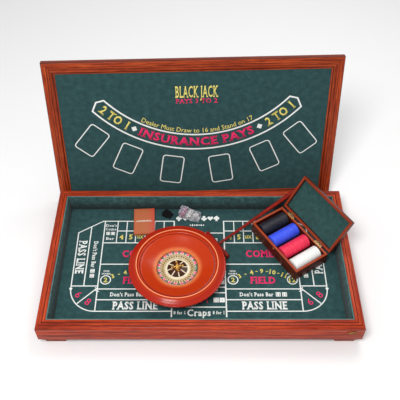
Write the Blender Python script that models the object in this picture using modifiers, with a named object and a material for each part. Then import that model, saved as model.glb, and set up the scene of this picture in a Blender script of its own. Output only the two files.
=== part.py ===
"""Table-top craps set: a felted wooden tray with its reversible top and its playing pieces.

Units are metres, +Z is up and the feet stand on z = 0.  The origin lies under the middle of the
whole set, tray and leaning top together.
"""
import math

import bmesh
import bpy
from mathutils import Matrix, Vector

MM = 0.001
GAP = 0.3 * MM                      # clearance left between touching pieces

# ---- tray ---------------------------------------------------------------------------------
TRAY_LENGTH = 780 * MM              # inside the rails, along X
TRAY_DEPTH = 408 * MM               # inside the rails, along Y
RAIL_WIDTH = 25 * MM
RAIL_BOTTOM = 18 * MM
RIM_HEIGHT = 80 * MM
RAIL_FLAT = 17 * MM                 # flat top of a rail, inside its rounded nose
RAIL_STEP = 1.5 * MM
NOSE_RADIUS = 8 * MM
PANEL_BOTTOM = 21 * MM
PANEL_THICKNESS = 6 * MM
FELT_THICKNESS = 1 * MM
LINER_TOP = 78.5 * MM
LINER_THIN = 3 * MM                 # liner thickness at the rim
LINER_THICK = 8 * MM                # liner thickness at its foot
FOOT_LENGTH = 62 * MM
FOOT_DEPTH = 46 * MM
FOOT_CHAMFER = 11 * MM
FOOT_INSET = 6 * MM
PLATE_LENGTH = 24 * MM
PLATE_HEIGHT = 12 * MM
PLATE_THICKNESS = 1.2 * MM
PLATE_POSITION = (384 * MM, 57 * MM)     # along X, above the table

# ---- reversible top -------------------------------------------------------------------------
TOP_LENGTH = 820 * MM
TOP_HEIGHT = 453 * MM
TOP_THICKNESS = 20 * MM
TOP_RAIL_WIDTH = 34 * MM
TOP_EDGE_RADIUS = 3 * MM
TOP_LEAN = math.radians(16.3)       # back from upright
TOP_TURN = math.radians(2.1)        # its right end stands further back
TOP_OFFSET = -12.5 * MM             # to the left of the tray's middle
TOP_BEHIND = 19 * MM                # behind the tray's back rail
CORE_THICKNESS = 8 * MM

# ---- roulette wheel ---------------------------------------------------------------------------
WHEEL_CENTRE = (-62 * MM, -30 * MM)
WHEEL_RADIUS = 132 * MM
RING_RADIUS = 112 * MM
WHEEL_HEIGHT = 48 * MM
WHEEL_EDGE_HEIGHT = 35 * MM
WELL_RADIUS = 57 * MM
ROTOR_RADIUS = 55.5 * MM
SPINDLE_RADIUS = 3 * MM
BUSH_RADIUS = 5 * MM
POCKETS = 38
TURRET_ARM = 15 * MM

# ---- chip box ---------------------------------------------------------------------------------
BOX_CENTRE = (250 * MM, 59 * MM)
BOX_TURN = math.radians(-57)
BOX_LENGTH = 202 * MM
BOX_WIDTH = 110 * MM
BOX_HEIGHT = 40 * MM
BOX_WALL = 7 * MM
INSERT_FLOOR = 4 * MM
DIVIDER_WIDTH = 4 * MM
DIVIDER_HEIGHT = 20 * MM
LID_GAP = 2 * MM                    # room for the hinge leaves
LID_DEPTH = 14 * MM
LID_PANEL = 4 * MM
LID_OPEN = math.radians(125)
HINGE_OUT = 1.9 * MM                # hinge axis beyond the back wall
HINGE_LENGTH = 26 * MM
HINGE_SPACING = 120 * MM
KNUCKLE_RADIUS = 1.5 * MM
LEAF_THICKNESS = 0.6 * MM
PIN_RADIUS = 0.7 * MM
PIN_PLAY = 0.15 * MM
CHIP_RADIUS = 19.5 * MM
CHIP_ROW_LENGTH = 86 * MM
CHIP_EDGE = 0.8 * MM

# ---- rake -------------------------------------------------------------------------------------
RAKE_HEAD_CENTRE = (49.4 * MM, 57.6 * MM)
RAKE_TURN = math.radians(34.4)
RAKE_HEAD = (10 * MM, 101 * MM, 17 * MM)
RAKE_LENGTH = 305 * MM
RAKE_NECK_RADIUS = 3.4 * MM          # where the handle meets the head
RAKE_END_RADIUS = 6.8 * MM
RAKE_REST_RADIUS = 6.4 * MM          # where the handle crosses the back rail

# ---- cards, dice and pouch ----------------------------------------------------------------------
CARD_BOX = (60.5 * MM, 92.5 * MM, 9 * MM)
CARD_CENTRE = (-163 * MM, 144 * MM)
CARD_TURN = math.radians(3)
CARD_WALL = 0.6 * MM
DIE_SIZE = 14 * MM
BAG_SIZE = (64 * MM, 32 * MM, 24 * MM)
BAG_CENTRE = (-29 * MM, 168.5 * MM)
BAG_TURN = math.radians(-22)
BAG_FILM = 0.5 * MM
POUCH_SIZE = (36 * MM, 28 * MM, 10 * MM)
POUCH_CENTRE = (-96 * MM, 173 * MM)
POUCH_TURN = math.radians(-35)

# ---- worked out from the above -------------------------------------------------------------------
FELT_TOP = PANEL_BOTTOM + PANEL_THICKNESS + GAP + FELT_THICKNESS
PLAY_FLOOR = FELT_TOP + GAP         # what stands on the felt starts here
TRAY_BACK = TRAY_DEPTH / 2 + RAIL_WIDTH
TOP_LIFT = ((TOP_THICKNESS - TOP_EDGE_RADIUS) * math.sin(TOP_LEAN)
            + TOP_EDGE_RADIUS * (1 - math.cos(TOP_LEAN)))       # it stands on its back edge
TOP_POSE = (Matrix.Translation((TOP_OFFSET, TRAY_BACK + TOP_BEHIND, TOP_LIFT))
            @ Matrix.Rotation(TOP_TURN, 4, "Z") @ Matrix.Rotation(math.pi / 2 - TOP_LEAN, 4, "X"))
TOP_HIGH_LEFT = TOP_POSE @ Vector((-TOP_LENGTH / 2, TOP_HEIGHT, 0))
TOP_HIGH_RIGHT = TOP_POSE @ Vector((TOP_LENGTH / 2, TOP_HEIGHT, -TOP_THICKNESS))
TRAY_SIDE = TRAY_LENGTH / 2 + RAIL_WIDTH
MIDDLE = ((TOP_HIGH_LEFT.x + TRAY_SIDE) / 2, (TOP_HIGH_RIGHT.y - TRAY_BACK) / 2)

WOOD = ("cherry_wood", (0.42, 0.075, 0.03), 0.38, 0.0)
TOP_WOOD = ("top_wood", (0.36, 0.06, 0.025), 0.4, 0.0)
PLY = ("plywood", (0.45, 0.3, 0.17), 0.7, 0.0)
FELT = ("green_felt", (0.025, 0.075, 0.075), 0.95, 0.0)
LINER = ("liner_felt", (0.035, 0.11, 0.105), 0.95, 0.0)
BRASS = ("brass", (0.7, 0.45, 0.16), 0.3, 1.0)
STEEL = ("steel", (0.6, 0.6, 0.62), 0.3, 1.0)
LACQUER = ("orange_lacquer", (0.62, 0.07, 0.015), 0.25, 0.0)
NUMBERS = ("number_ring", (0.6, 0.45, 0.4), 0.5, 0.0)
POCKET = ("pocket_cream", (0.75, 0.68, 0.5), 0.5, 0.0)
BOX_WOOD = ("box_wood", (0.3, 0.05, 0.02), 0.35, 0.0)
CARD = ("card_paper", (0.6, 0.2, 0.11), 0.6, 0.0)
PAPER = ("white_paper", (0.85, 0.83, 0.78), 0.8, 0.0)
FILM = ("clear_film", (0.8, 0.82, 0.84), 0.15, 0.0)
POUCH_CLOTH = ("black_cloth", (0.01, 0.01, 0.01), 0.9, 0.0)
RED_DIE = ("red_die", (0.6, 0.02, 0.09), 0.15, 0.0)
WHITE_DIE = ("white_die", (0.9, 0.9, 0.88), 0.3, 0.0)
CHIP_COLOURS = {
    "black": (0.02, 0.02, 0.025),
    "blue": (0.03, 0.05, 0.75),
    "red": (0.8, 0.02, 0.06),
    "white": (0.88, 0.87, 0.85),
}


# ---- helpers ------------------------------------------------------------------------------------
def clear_scene():
    """Remove whatever the scene holds."""
    for obj in list(bpy.data.objects):
        bpy.data.objects.remove(obj)


def material(spec):
    """A Principled material from (name, colour, roughness, metallic)."""
    name, colour, roughness, metallic = spec
    made = bpy.data.materials.get(name)
    if made is None:
        made = bpy.data.materials.new(name)
        made.use_nodes = True
        shader = made.node_tree.nodes["Principled BSDF"]
        shader.inputs["Base Color"].default_value = (*colour, 1.0)
        shader.inputs["Roughness"].default_value = roughness
        shader.inputs["Metallic"].default_value = metallic
        made.diffuse_color = (*colour, 1.0)
    return made


def empty(name, location, rotation=(0, 0, 0), parent=None):
    """A frame that the pieces of one assembly hang on."""
    frame = bpy.data.objects.new(name, None)
    PARTS.objects.link(frame)
    frame.location = location
    frame.rotation_euler = rotation
    frame.parent = parent
    return frame


def add(name, mesh, spec, parent, location=(0, 0, 0), rotation=(0, 0, 0), collection=None):
    """Put a mesh in the model as one named object with its own material."""
    obj = bpy.data.objects.new(name, mesh)
    (collection or PARTS).objects.link(obj)
    mesh.materials.clear()
    mesh.materials.append(material(spec))
    obj.location = location
    obj.rotation_euler = rotation
    obj.parent = parent
    return obj


def box_mesh(name, size):
    """A box about the origin."""
    mesh = bpy.data.meshes.new(name)
    bm = bmesh.new()
    bmesh.ops.create_cube(bm, size=1.0)
    bmesh.ops.scale(bm, vec=size, verts=bm.verts)
    bm.to_mesh(mesh)
    bm.free()
    return mesh


def cylinder_mesh(name, radius, length, segments, axis="Z"):
    """A cylinder about the origin, along one axis."""
    mesh = bpy.data.meshes.new(name)
    bm = bmesh.new()
    bmesh.ops.create_cone(bm, cap_ends=True, segments=segments, radius1=radius, radius2=radius,
                          depth=length)
    turn = {"X": Matrix.Rotation(math.pi / 2, 4, "Y"), "Y": Matrix.Rotation(math.pi / 2, 4, "X"),
            "Z": Matrix.Identity(4)}[axis]
    bm.transform(turn)
    bm.to_mesh(mesh)
    bm.free()
    return mesh


def tapered_mesh(name, start_radius, end_radius, length, segments):
    """A round stick about the origin, along X, that grows towards its far end."""
    mesh = bpy.data.meshes.new(name)
    bm = bmesh.new()
    bmesh.ops.create_cone(bm, cap_ends=True, segments=segments, radius1=start_radius,
                          radius2=end_radius, depth=length)
    bm.transform(Matrix.Rotation(math.pi / 2, 4, "Y"))
    bm.to_mesh(mesh)
    bm.free()
    return mesh


def bevel(obj, width, segments=2):
    """Round an object's sharp edges."""
    modifier = obj.modifiers.new("edges", "BEVEL")
    modifier.width = width
    modifier.segments = segments
    modifier.limit_method = "ANGLE"
    modifier.angle_limit = math.radians(40)
    return obj


def boolean(obj, other, operation):
    """Join or cut with another object, which is kept as a hidden guide."""
    modifier = obj.modifiers.new(operation.lower(), "BOOLEAN")
    modifier.operation = operation
    modifier.object = other
    other.hide_render = True
    other.display_type = "WIRE"


def arc(centre, radius, start, end, steps):
    """Points along an arc, with angles in degrees."""
    points = []
    for i in range(steps + 1):
        angle = math.radians(start + (end - start) * i / steps)
        points.append((centre[0] + radius * math.cos(angle), centre[1] + radius * math.sin(angle)))
    return points


def flat_outline(name, points, thickness):
    """A mesh made of a filled outline with a thickness, centred on its own plane."""
    curve = bpy.data.curves.new(name, "CURVE")
    curve.dimensions = "2D"
    curve.fill_mode = "BOTH"
    curve.extrude = thickness / 2
    spline = curve.splines.new("POLY")
    spline.points.add(len(points) - 1)
    for point, (x, y) in zip(spline.points, points):
        point.co = (x, y, 0, 1)
    spline.use_cyclic_u = True
    holder = bpy.data.objects.new(name, curve)
    PARTS.objects.link(holder)
    bpy.context.view_layer.update()
    mesh = bpy.data.meshes.new_from_object(holder.evaluated_get(bpy.context.evaluated_depsgraph_get()))
    mesh.name = name
    bpy.data.objects.remove(holder)
    bpy.data.curves.remove(curve)
    bm = bmesh.new()
    bm.from_mesh(mesh)
    bmesh.ops.remove_doubles(bm, verts=bm.verts, dist=0.00001)
    bmesh.ops.recalc_face_normals(bm, faces=bm.faces)
    bm.to_mesh(mesh)
    bm.free()
    return mesh


def mitred_rail(name, outline, inner_length):
    """A moulding along X with 45 degree ends; its outline is (outward Y, up Z) from the inner edge."""
    longest = inner_length + 4 * max(abs(point[0]) for point in outline)
    mesh = flat_outline(name, outline, longest)
    bm = bmesh.new()
    bm.from_mesh(mesh)
    bm.transform(Matrix(((0, 0, 1, 0), (1, 0, 0, 0), (0, 1, 0, 0), (0, 0, 0, 1))))
    for side in (1, -1):
        saw = bmesh.ops.bisect_plane(
            bm, geom=bm.verts[:] + bm.edges[:] + bm.faces[:], dist=0.000001,
            plane_co=(side * (inner_length / 2 - GAP / 2), 0, 0), plane_no=(side, -1, 0),
            clear_outer=True)
        rim = [item for item in saw["geom_cut"] if isinstance(item, bmesh.types.BMEdge)]
        bmesh.ops.edgenet_fill(bm, edges=rim)
    bmesh.ops.recalc_face_normals(bm, faces=bm.faces)
    bm.to_mesh(mesh)
    bm.free()
    return mesh


def frame_of_rails(prefix, suffix, outline, length, depth, spec, parent):
    """Four mitred rails round an opening of length by depth, in the plane of parent's XY."""
    for side, run, place, turn in (
            ("front", length, (0, -depth / 2, 0), math.pi), ("back", length, (0, depth / 2, 0), 0),
            ("left", depth, (-length / 2, 0, 0), math.pi / 2),
            ("right", depth, (length / 2, 0, 0), -math.pi / 2)):
        name = f"{prefix}_{side}_{suffix}"
        add(name, mitred_rail(name, outline, run), spec, parent, place, (0, 0, turn))


def turned(name, profile, segments, spec, parent, location=(0, 0, 0), closed=False):
    """A lathe piece: a profile of (radius, height) that runs down its outer side, top to bottom."""
    mesh = bpy.data.meshes.new(name)
    edges = [(i, i + 1) for i in range(len(profile) - 1)]
    if closed:
        edges.append((len(profile) - 1, 0))
    mesh.from_pydata([(radius, 0, height) for radius, height in profile], edges, [])
    obj = add(name, mesh, spec, parent, location)
    screw = obj.modifiers.new("turning", "SCREW")
    screw.angle = 2 * math.pi
    screw.steps = segments
    screw.render_steps = segments
    screw.use_merge_vertices = True
    screw.merge_threshold = 0.00002
    screw.use_smooth_shade = True
    return obj


# ---- tray ---------------------------------------------------------------------------------------
def rail_outline():
    """Tray rail: flat inner top, a small step, a rounded nose and a curled-in foot."""
    nose_height = RIM_HEIGHT - RAIL_STEP - NOSE_RADIUS
    nose = arc((RAIL_WIDTH - NOSE_RADIUS, nose_height), NOSE_RADIUS, 0, 82, 5)
    curl_radius = 6 * MM
    curl = arc((RAIL_WIDTH - curl_radius, RAIL_BOTTOM + curl_radius), curl_radius, -75, 0, 3)
    return ([(0, RAIL_BOTTOM)] + [(RAIL_WIDTH - curl_radius, RAIL_BOTTOM)] + curl + nose
            + [(RAIL_FLAT, RIM_HEIGHT - RAIL_STEP), (RAIL_FLAT, RIM_HEIGHT), (0, RIM_HEIGHT)])


def liner_outline():
    """Padded felt strip on a rail's inner face, thicker at its foot; Y is negative, inwards."""
    steps = 4
    back = [(-GAP, PLAY_FLOOR), (-GAP, LINER_TOP)]
    face = []
    for i in range(steps + 1):
        down = i / steps
        thickness = LINER_THIN + (LINER_THICK - LINER_THIN) * down ** 1.5
        face.append((-GAP - thickness, LINER_TOP + (PLAY_FLOOR - LINER_TOP) * down))
    return back + face


def foot_outline():
    """Bracket foot seen from the front, with its inner end cut back."""
    half = FOOT_LENGTH / 2
    top = RAIL_BOTTOM - GAP
    return [(-half + 2 * MM, 0), (half - FOOT_CHAMFER, 0), (half, top), (-half, top), (-half, 3 * MM)]


def build_feet(tray):
    """Four bracket feet under the tray's corners."""
    outer_x = TRAY_SIDE - FOOT_INSET
    outer_y = TRAY_BACK - FOOT_INSET
    for side_y, row in ((-1, "front"), (1, "back")):
        for side_x, column in ((-1, "left"), (1, "right")):
            name = f"foot_{row}_{column}"
            mesh = flat_outline(name, [(-side_x * x, y) for x, y in foot_outline()], FOOT_DEPTH)
            bm = bmesh.new()
            bm.from_mesh(mesh)
            bm.transform(Matrix.Rotation(math.pi / 2, 4, "X"))
            bmesh.ops.recalc_face_normals(bm, faces=bm.faces)
            bm.to_mesh(mesh)
            bm.free()
            place = (side_x * (outer_x - FOOT_LENGTH / 2), side_y * (outer_y - FOOT_DEPTH / 2), 0)
            add(name, mesh, WOOD, tray, place)


def build_plate(tray):
    """Blank oval brass plate on the front rail."""
    steps = 24
    oval = [(PLATE_LENGTH / 2 * math.cos(2 * math.pi * i / steps),
             PLATE_HEIGHT / 2 * math.sin(2 * math.pi * i / steps)) for i in range(steps)]
    mesh = flat_outline("oval_plate", oval, PLATE_THICKNESS)
    front = -TRAY_BACK - GAP - PLATE_THICKNESS / 2
    add("oval_plate", mesh, BRASS, tray, (PLATE_POSITION[0], front, PLATE_POSITION[1]),
        (math.pi / 2, 0, 0))


def build_tray(frame):
    """Rails, bottom panel, playing felt, liners, feet and plate."""
    tray = empty("tray", (0, 0, 0), parent=frame)
    frame_of_rails("tray", "rail", rail_outline(), TRAY_LENGTH, TRAY_DEPTH, WOOD, tray)
    inside = (TRAY_LENGTH - 2 * GAP, TRAY_DEPTH - 2 * GAP)
    add("bottom_panel", box_mesh("bottom_panel", (*inside, PANEL_THICKNESS)), PLY, tray,
        (0, 0, PANEL_BOTTOM + PANEL_THICKNESS / 2))
    add("craps_felt", box_mesh("craps_felt", (*inside, FELT_THICKNESS)), FELT, tray,
        (0, 0, FELT_TOP - FELT_THICKNESS / 2))
    frame_of_rails("liner", "pad", liner_outline(), TRAY_LENGTH, TRAY_DEPTH, LINER, tray)
    build_feet(tray)
    build_plate(tray)


# ---- reversible top -----------------------------------------------------------------------------
def top_rail_outline():
    """Picture-frame moulding, alike on both faces, stepped down to its inner lip."""
    width = TOP_RAIL_WIDTH
    half = TOP_THICKNESS / 2
    upper = [(0, half - 3.6 * MM), (4 * MM, half - 3.0 * MM), (6 * MM, half - 1.4 * MM),
             (9 * MM, half), (width - TOP_EDGE_RADIUS - 1 * MM, half)]
    upper += arc((width - TOP_EDGE_RADIUS, half - TOP_EDGE_RADIUS), TOP_EDGE_RADIUS, 75, 0, 3)
    lower = [(x, -y) for x, y in reversed(upper[:-1])]
    return [(x, y - half) for x, y in upper + lower]


def build_top(frame):
    """The reversible top, modelled flat with its card side up, then stood up and leaned back."""
    top = empty("reversible_top", TOP_POSE.to_translation(), TOP_POSE.to_euler(), frame)
    middle = empty("top_middle", (0, TOP_HEIGHT / 2, 0), parent=top)
    opening = (TOP_LENGTH - 2 * TOP_RAIL_WIDTH, TOP_HEIGHT - 2 * TOP_RAIL_WIDTH)
    frame_of_rails("top", "rail", top_rail_outline(), *opening, TOP_WOOD, middle)
    size = (opening[0] - 2 * GAP, opening[1] - 2 * GAP)
    centre = -TOP_THICKNESS / 2
    felt_offset = CORE_THICKNESS / 2 + GAP + FELT_THICKNESS / 2
    add("top_core", box_mesh("top_core", (*size, CORE_THICKNESS)), PLY, middle, (0, 0, centre))
    for name, side in (("card_game_felt", 1), ("roulette_felt", -1)):
        add(name, box_mesh(name, (*size, FELT_THICKNESS)), FELT, middle,
            (0, 0, centre + side * felt_offset))


# ---- roulette wheel -----------------------------------------------------------------------------
def bowl_profile():
    """Bowl of the wheel: sloping outer rim, bright ring, groove, cone and the rotor's well."""
    ring = RING_RADIUS
    top = WHEEL_HEIGHT
    edge = WHEEL_RADIUS
    hub = SPINDLE_RADIUS + 0.1 * MM
    well_floor = 8 * MM
    outside = arc((edge - 2.5 * MM, WHEEL_EDGE_HEIGHT), 2.5 * MM, 60, -40, 3)
    return ([(hub, well_floor), (WELL_RADIUS, well_floor), (WELL_RADIUS, 25 * MM),
             (ring - 12 * MM, 41 * MM), (ring - 8 * MM, 40 * MM), (ring - 4.5 * MM, 42 * MM),
             (ring - 3.5 * MM, top - 1 * MM), (ring - 1.5 * MM, top), (ring + 0.5 * MM, top - 1 * MM),
             (ring + 2 * MM, top - 3.5 * MM)] + outside
            + [(edge - 12 * MM, 14 * MM), (edge - 30 * MM, 2 * MM), (edge - 34 * MM, 0), (hub, 0)])


def rotor_profile():
    """Rotor: numbered outer band, recess for the pockets and a low cone up to the turret."""
    bore = BUSH_RADIUS + 0.1 * MM
    base = 9 * MM
    return [(bore, 25 * MM), (12 * MM, 25 * MM), (34 * MM, 18 * MM), (46 * MM, 18 * MM),
            (46 * MM, 22.5 * MM), (ROTOR_RADIUS - 1 * MM, 24.5 * MM), (ROTOR_RADIUS, 23.5 * MM),
            (ROTOR_RADIUS, base), (bore, base)]


def pocket_outline():
    """Ring of frets: one slot for each number, open towards the outside."""
    inner, floor, outer = 35 * MM, 36.5 * MM, 45.7 * MM
    points = []
    for i in range(POCKETS):
        middle = 2 * math.pi * i / POCKETS
        slot = 2 * math.pi / POCKETS * 0.38
        for radius, angle in ((outer, middle - slot), (floor, middle - slot),
                              (floor, middle + slot), (outer, middle + slot)):
            points.append((radius * math.cos(angle), radius * math.sin(angle)))
    return inner, points


def build_pocket_ring(wheel):
    """The fret ring, cut out in the middle to drop over the rotor's cone."""
    inner, points = pocket_outline()
    thickness = 3.5 * MM
    height = 18 * MM + GAP + thickness / 2
    ring = add("pocket_ring", flat_outline("pocket_ring", points, thickness), POCKET, wheel,
               (0, 0, height))
    cutter = add("pocket_ring_bore", cylinder_mesh("pocket_ring_bore", inner, 4 * thickness, 48), POCKET,
                 wheel, (0, 0, height), collection=CUTTERS)
    boolean(ring, cutter, "DIFFERENCE")


def build_turret(wheel):
    """Brass turret: a turned post with four ball-ended arms, joined into one casting."""
    base = 25 * MM + GAP
    post = turned("turret", [(0, 17 * MM), (3 * MM, 16.5 * MM), (4.5 * MM, 14 * MM), (3 * MM, 11.5 * MM),
                             (3 * MM, 9 * MM), (5 * MM, 7 * MM), (5 * MM, 4 * MM), (8 * MM, 2 * MM),
                             (8.5 * MM, 0), (0, 0)], 20, BRASS, wheel, (0, 0, base))
    weld = post.modifiers.new("weld", "WELD")
    weld.merge_threshold = 0.00002
    for axis in ("X", "Y"):
        arm = add(f"turret_arm_{axis}", cylinder_mesh(f"turret_arm_{axis}", 1.4 * MM, 2 * TURRET_ARM, 10,
                                                      axis), BRASS, wheel, (0, 0, base + 5.5 * MM),
                  collection=CUTTERS)
        boolean(post, arm, "UNION")
    for i in range(4):
        angle = i * math.pi / 2
        mesh = bpy.data.meshes.new(f"turret_ball_{i}")
        bm = bmesh.new()
        bmesh.ops.create_uvsphere(bm, u_segments=10, v_segments=7, radius=2.6 * MM)
        bm.to_mesh(mesh)
        bm.free()
        ball = add(f"turret_ball_{i}", mesh, BRASS, wheel,
                   (TURRET_ARM * math.cos(angle), TURRET_ARM * math.sin(angle), base + 5.5 * MM),
                   collection=CUTTERS)
        boolean(post, ball, "UNION")


def build_wheel(frame):
    """Bowl, spindle, and the rotor with its bush, pockets and turret."""
    wheel = empty("roulette_wheel", (*WHEEL_CENTRE, PLAY_FLOOR), parent=frame)
    turned("wheel_bowl", bowl_profile(), 64, LACQUER, wheel, closed=True)
    spindle = cylinder_mesh("spindle", SPINDLE_RADIUS, 24.5 * MM, 20)
    add("spindle", spindle, STEEL, wheel, (0, 0, 12.75 * MM))
    bush_inner = SPINDLE_RADIUS + 0.1 * MM
    turned("rotor_bush", [(bush_inner, 24.8 * MM), (BUSH_RADIUS, 24.8 * MM), (BUSH_RADIUS, 8.4 * MM),
                          (bush_inner, 8.4 * MM)], 24, BRASS, wheel, closed=True)
    turned("rotor_disc", rotor_profile(), 48, NUMBERS, wheel, closed=True)
    build_pocket_ring(wheel)
    build_turret(wheel)


# ---- chip box -----------------------------------------------------------------------------------
def plain_rail_outline(width, low, high):
    """Rectangular rail section, outward from the inner edge."""
    return [(0, low), (width, low), (width, high), (0, high)]


def build_insert(box):
    """Chip tray insert: a floor with three dividers, cut from one block."""
    length = BOX_LENGTH - 2 * BOX_WALL - 2 * GAP
    width = BOX_WIDTH - 2 * BOX_WALL - 2 * GAP
    bay = (length - 3 * DIVIDER_WIDTH) / 4
    outline = [(-length / 2, 0), (length / 2, 0), (length / 2, INSERT_FLOOR)]
    for i in (3, 2, 1):
        right = -length / 2 + i * (bay + DIVIDER_WIDTH)
        outline += [(right, INSERT_FLOOR), (right, DIVIDER_HEIGHT),
                    (right - DIVIDER_WIDTH, DIVIDER_HEIGHT), (right - DIVIDER_WIDTH, INSERT_FLOOR)]
    outline.append((-length / 2, INSERT_FLOOR))
    mesh = flat_outline("chip_insert", outline, width)
    add("chip_insert", mesh, BOX_WOOD, box, (0, 0, 0), (math.pi / 2, 0, 0))
    return bay


def chip_profile():
    """A row of chips as one turned solid, with the rounded edges of its end chips."""
    edge = CHIP_RADIUS - CHIP_EDGE
    return [(0, CHIP_ROW_LENGTH), (edge, CHIP_ROW_LENGTH), (CHIP_RADIUS, CHIP_ROW_LENGTH - CHIP_EDGE),
            (CHIP_RADIUS, CHIP_EDGE), (edge, 0), (0, 0)]


def build_chip_rows(box, bay):
    """Four rows of chips standing on edge, one row to a compartment."""
    start = -BOX_LENGTH / 2 + BOX_WALL + GAP + bay / 2
    for i, (colour, rgb) in enumerate(CHIP_COLOURS.items()):
        spec = (f"chip_{colour}", rgb, 0.45, 0.0)
        place = (start + i * (bay + DIVIDER_WIDTH), CHIP_ROW_LENGTH / 2, INSERT_FLOOR + GAP + CHIP_RADIUS)
        row = turned(f"chips_{colour}", chip_profile(), 32, spec, box, place)
        row.rotation_euler = (math.pi / 2, 0, 0)


def guide(name, mesh, parent, location=(0, 0, 0)):
    """A hidden piece that only joins or cuts another."""
    return add(name, mesh, BRASS, parent, location, collection=CUTTERS)


def hinge_leaf(name, length, height, place, spans, parent):
    """A leaf's plate joined to its own knuckles; the hinge axis is the parent's X."""
    reach = HINGE_OUT + BOX_WALL - 1.5 * MM
    leaf = add(name, box_mesh(name, (length, reach, LEAF_THICKNESS)), BRASS, parent,
               (place, -reach / 2, height))
    for i, (low, high) in enumerate(spans):
        barrel = cylinder_mesh(name, KNUCKLE_RADIUS, high - low, 12, "X")
        boolean(leaf, guide(f"{name}_barrel_{i}", barrel, parent, ((low + high) / 2 + place, 0, 0)), "UNION")
    return leaf


def build_hinges(box_side, lid_side):
    """Two butt hinges; the pin is fixed in the box leaf.  Both frames lie on the hinge axis."""
    half = HINGE_LENGTH / 2
    third = HINGE_LENGTH / 3
    height = (LID_GAP - LEAF_THICKNESS) / 2 - GAP
    for side, label in ((-1, "left"), (1, "right")):
        x = side * HINGE_SPACING / 2
        name = f"hinge_{label}_box_leaf"
        fixed = hinge_leaf(name, HINGE_LENGTH, -height, x,
                           ((-half, -third / 2 - GAP), (third / 2 + GAP, half)), box_side)
        gap_size = (KNUCKLE_RADIUS + GAP, third + 2 * GAP)
        boolean(fixed, guide(f"{name}_gap", cylinder_mesh(name, *gap_size, 16, "X"), box_side, (x, 0, 0)),
                "DIFFERENCE")
        boolean(fixed, guide(f"{name}_pin", cylinder_mesh(name, PIN_RADIUS, HINGE_LENGTH - GAP, 10, "X"),
                             box_side, (x, 0, 0)), "UNION")
        name = f"hinge_{label}_lid_leaf"
        moving = hinge_leaf(name, third - 2 * GAP, height, x, ((-third / 2, third / 2),), lid_side)
        bore = cylinder_mesh(name, PIN_RADIUS + PIN_PLAY, HINGE_LENGTH, 10, "X")
        boolean(moving, guide(f"{name}_bore", bore, lid_side, (x, 0, 0)), "DIFFERENCE")


def build_lid(lid):
    """Lid frame with its panel and felt, built shut in a frame on the hinge axis."""
    back = -HINGE_OUT
    middle = empty("chip_lid_middle", (0, back - BOX_WIDTH / 2, LID_GAP / 2), parent=lid)
    opening = (BOX_LENGTH - 2 * BOX_WALL, BOX_WIDTH - 2 * BOX_WALL)
    frame_of_rails("lid", "rail", plain_rail_outline(BOX_WALL, 0, LID_DEPTH), *opening, BOX_WOOD, middle)
    size = (opening[0] - 2 * GAP, opening[1] - 2 * GAP)
    add("lid_panel", box_mesh("lid_panel", (*size, LID_PANEL)), BOX_WOOD, middle,
        (0, 0, LID_DEPTH - LID_PANEL / 2))
    add("lid_felt", box_mesh("lid_felt", (*size, FELT_THICKNESS)), FELT, middle,
        (0, 0, LID_DEPTH - LID_PANEL - GAP - FELT_THICKNESS / 2))


def build_chip_box(frame):
    """Box with its insert, chips, hinges and open lid; its local Y points to the hinges."""
    box = empty("chip_box", (*BOX_CENTRE, PLAY_FLOOR), (0, 0, BOX_TURN), frame)
    opening = (BOX_LENGTH - 2 * BOX_WALL, BOX_WIDTH - 2 * BOX_WALL)
    frame_of_rails("box", "wall", plain_rail_outline(BOX_WALL, 0, BOX_HEIGHT), *opening, BOX_WOOD, box)
    bay = build_insert(box)
    build_chip_rows(box, bay)
    axis = (0, BOX_WIDTH / 2 + HINGE_OUT, BOX_HEIGHT + LID_GAP / 2)
    box_side = empty("chip_hinge_axis", axis, parent=box)
    lid_side = empty("chip_lid", axis, (-LID_OPEN, 0, 0), box)
    build_hinges(box_side, lid_side)
    build_lid(lid_side)


# ---- rake ---------------------------------------------------------------------------------------
def build_rake(frame):
    """Rake lying with its head on the felt and its handle over the back rail; local X is the handle."""
    head_height = PLAY_FLOOR + RAKE_HEAD[2] / 2 + 1 * MM
    run = (TRAY_DEPTH / 2 - RAKE_HEAD_CENTRE[1]) / math.sin(RAKE_TURN)
    rise = RIM_HEIGHT + GAP + RAKE_REST_RADIUS * 1.04 - head_height
    pitch = math.atan2(rise, run)
    rake = empty("rake", (*RAKE_HEAD_CENTRE, head_height), (0, -pitch, RAKE_TURN), frame)
    bevel(add("rake_head", box_mesh("rake_head", RAKE_HEAD), BOX_WOOD, rake), 1.5 * MM)
    start = RAKE_HEAD[0] / 2 + GAP
    taper = tapered_mesh("rake_handle", RAKE_NECK_RADIUS, RAKE_END_RADIUS, RAKE_LENGTH - start, 16)
    handle = add("rake_handle", taper, BOX_WOOD, rake, ((RAKE_LENGTH + start) / 2, 0, 0))
    bevel(handle, 1 * MM)


# ---- cards, dice and pouch ----------------------------------------------------------------------
def open_shell(name, size, wall, spec, parent, location, open_side):
    """A thin box with one end open, its walls grown inwards."""
    obj = add(name, box_mesh(name, size), spec, parent, location)
    bm = bmesh.new()
    bm.from_mesh(obj.data)
    missing = [face for face in bm.faces if face.normal.dot(Vector(open_side)) > 0.9]
    bmesh.ops.delete(bm, geom=missing, context="FACES")
    bm.to_mesh(obj.data)
    bm.free()
    solid = obj.modifiers.new("wall", "SOLIDIFY")
    solid.thickness = wall
    solid.offset = -1
    return obj


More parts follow.
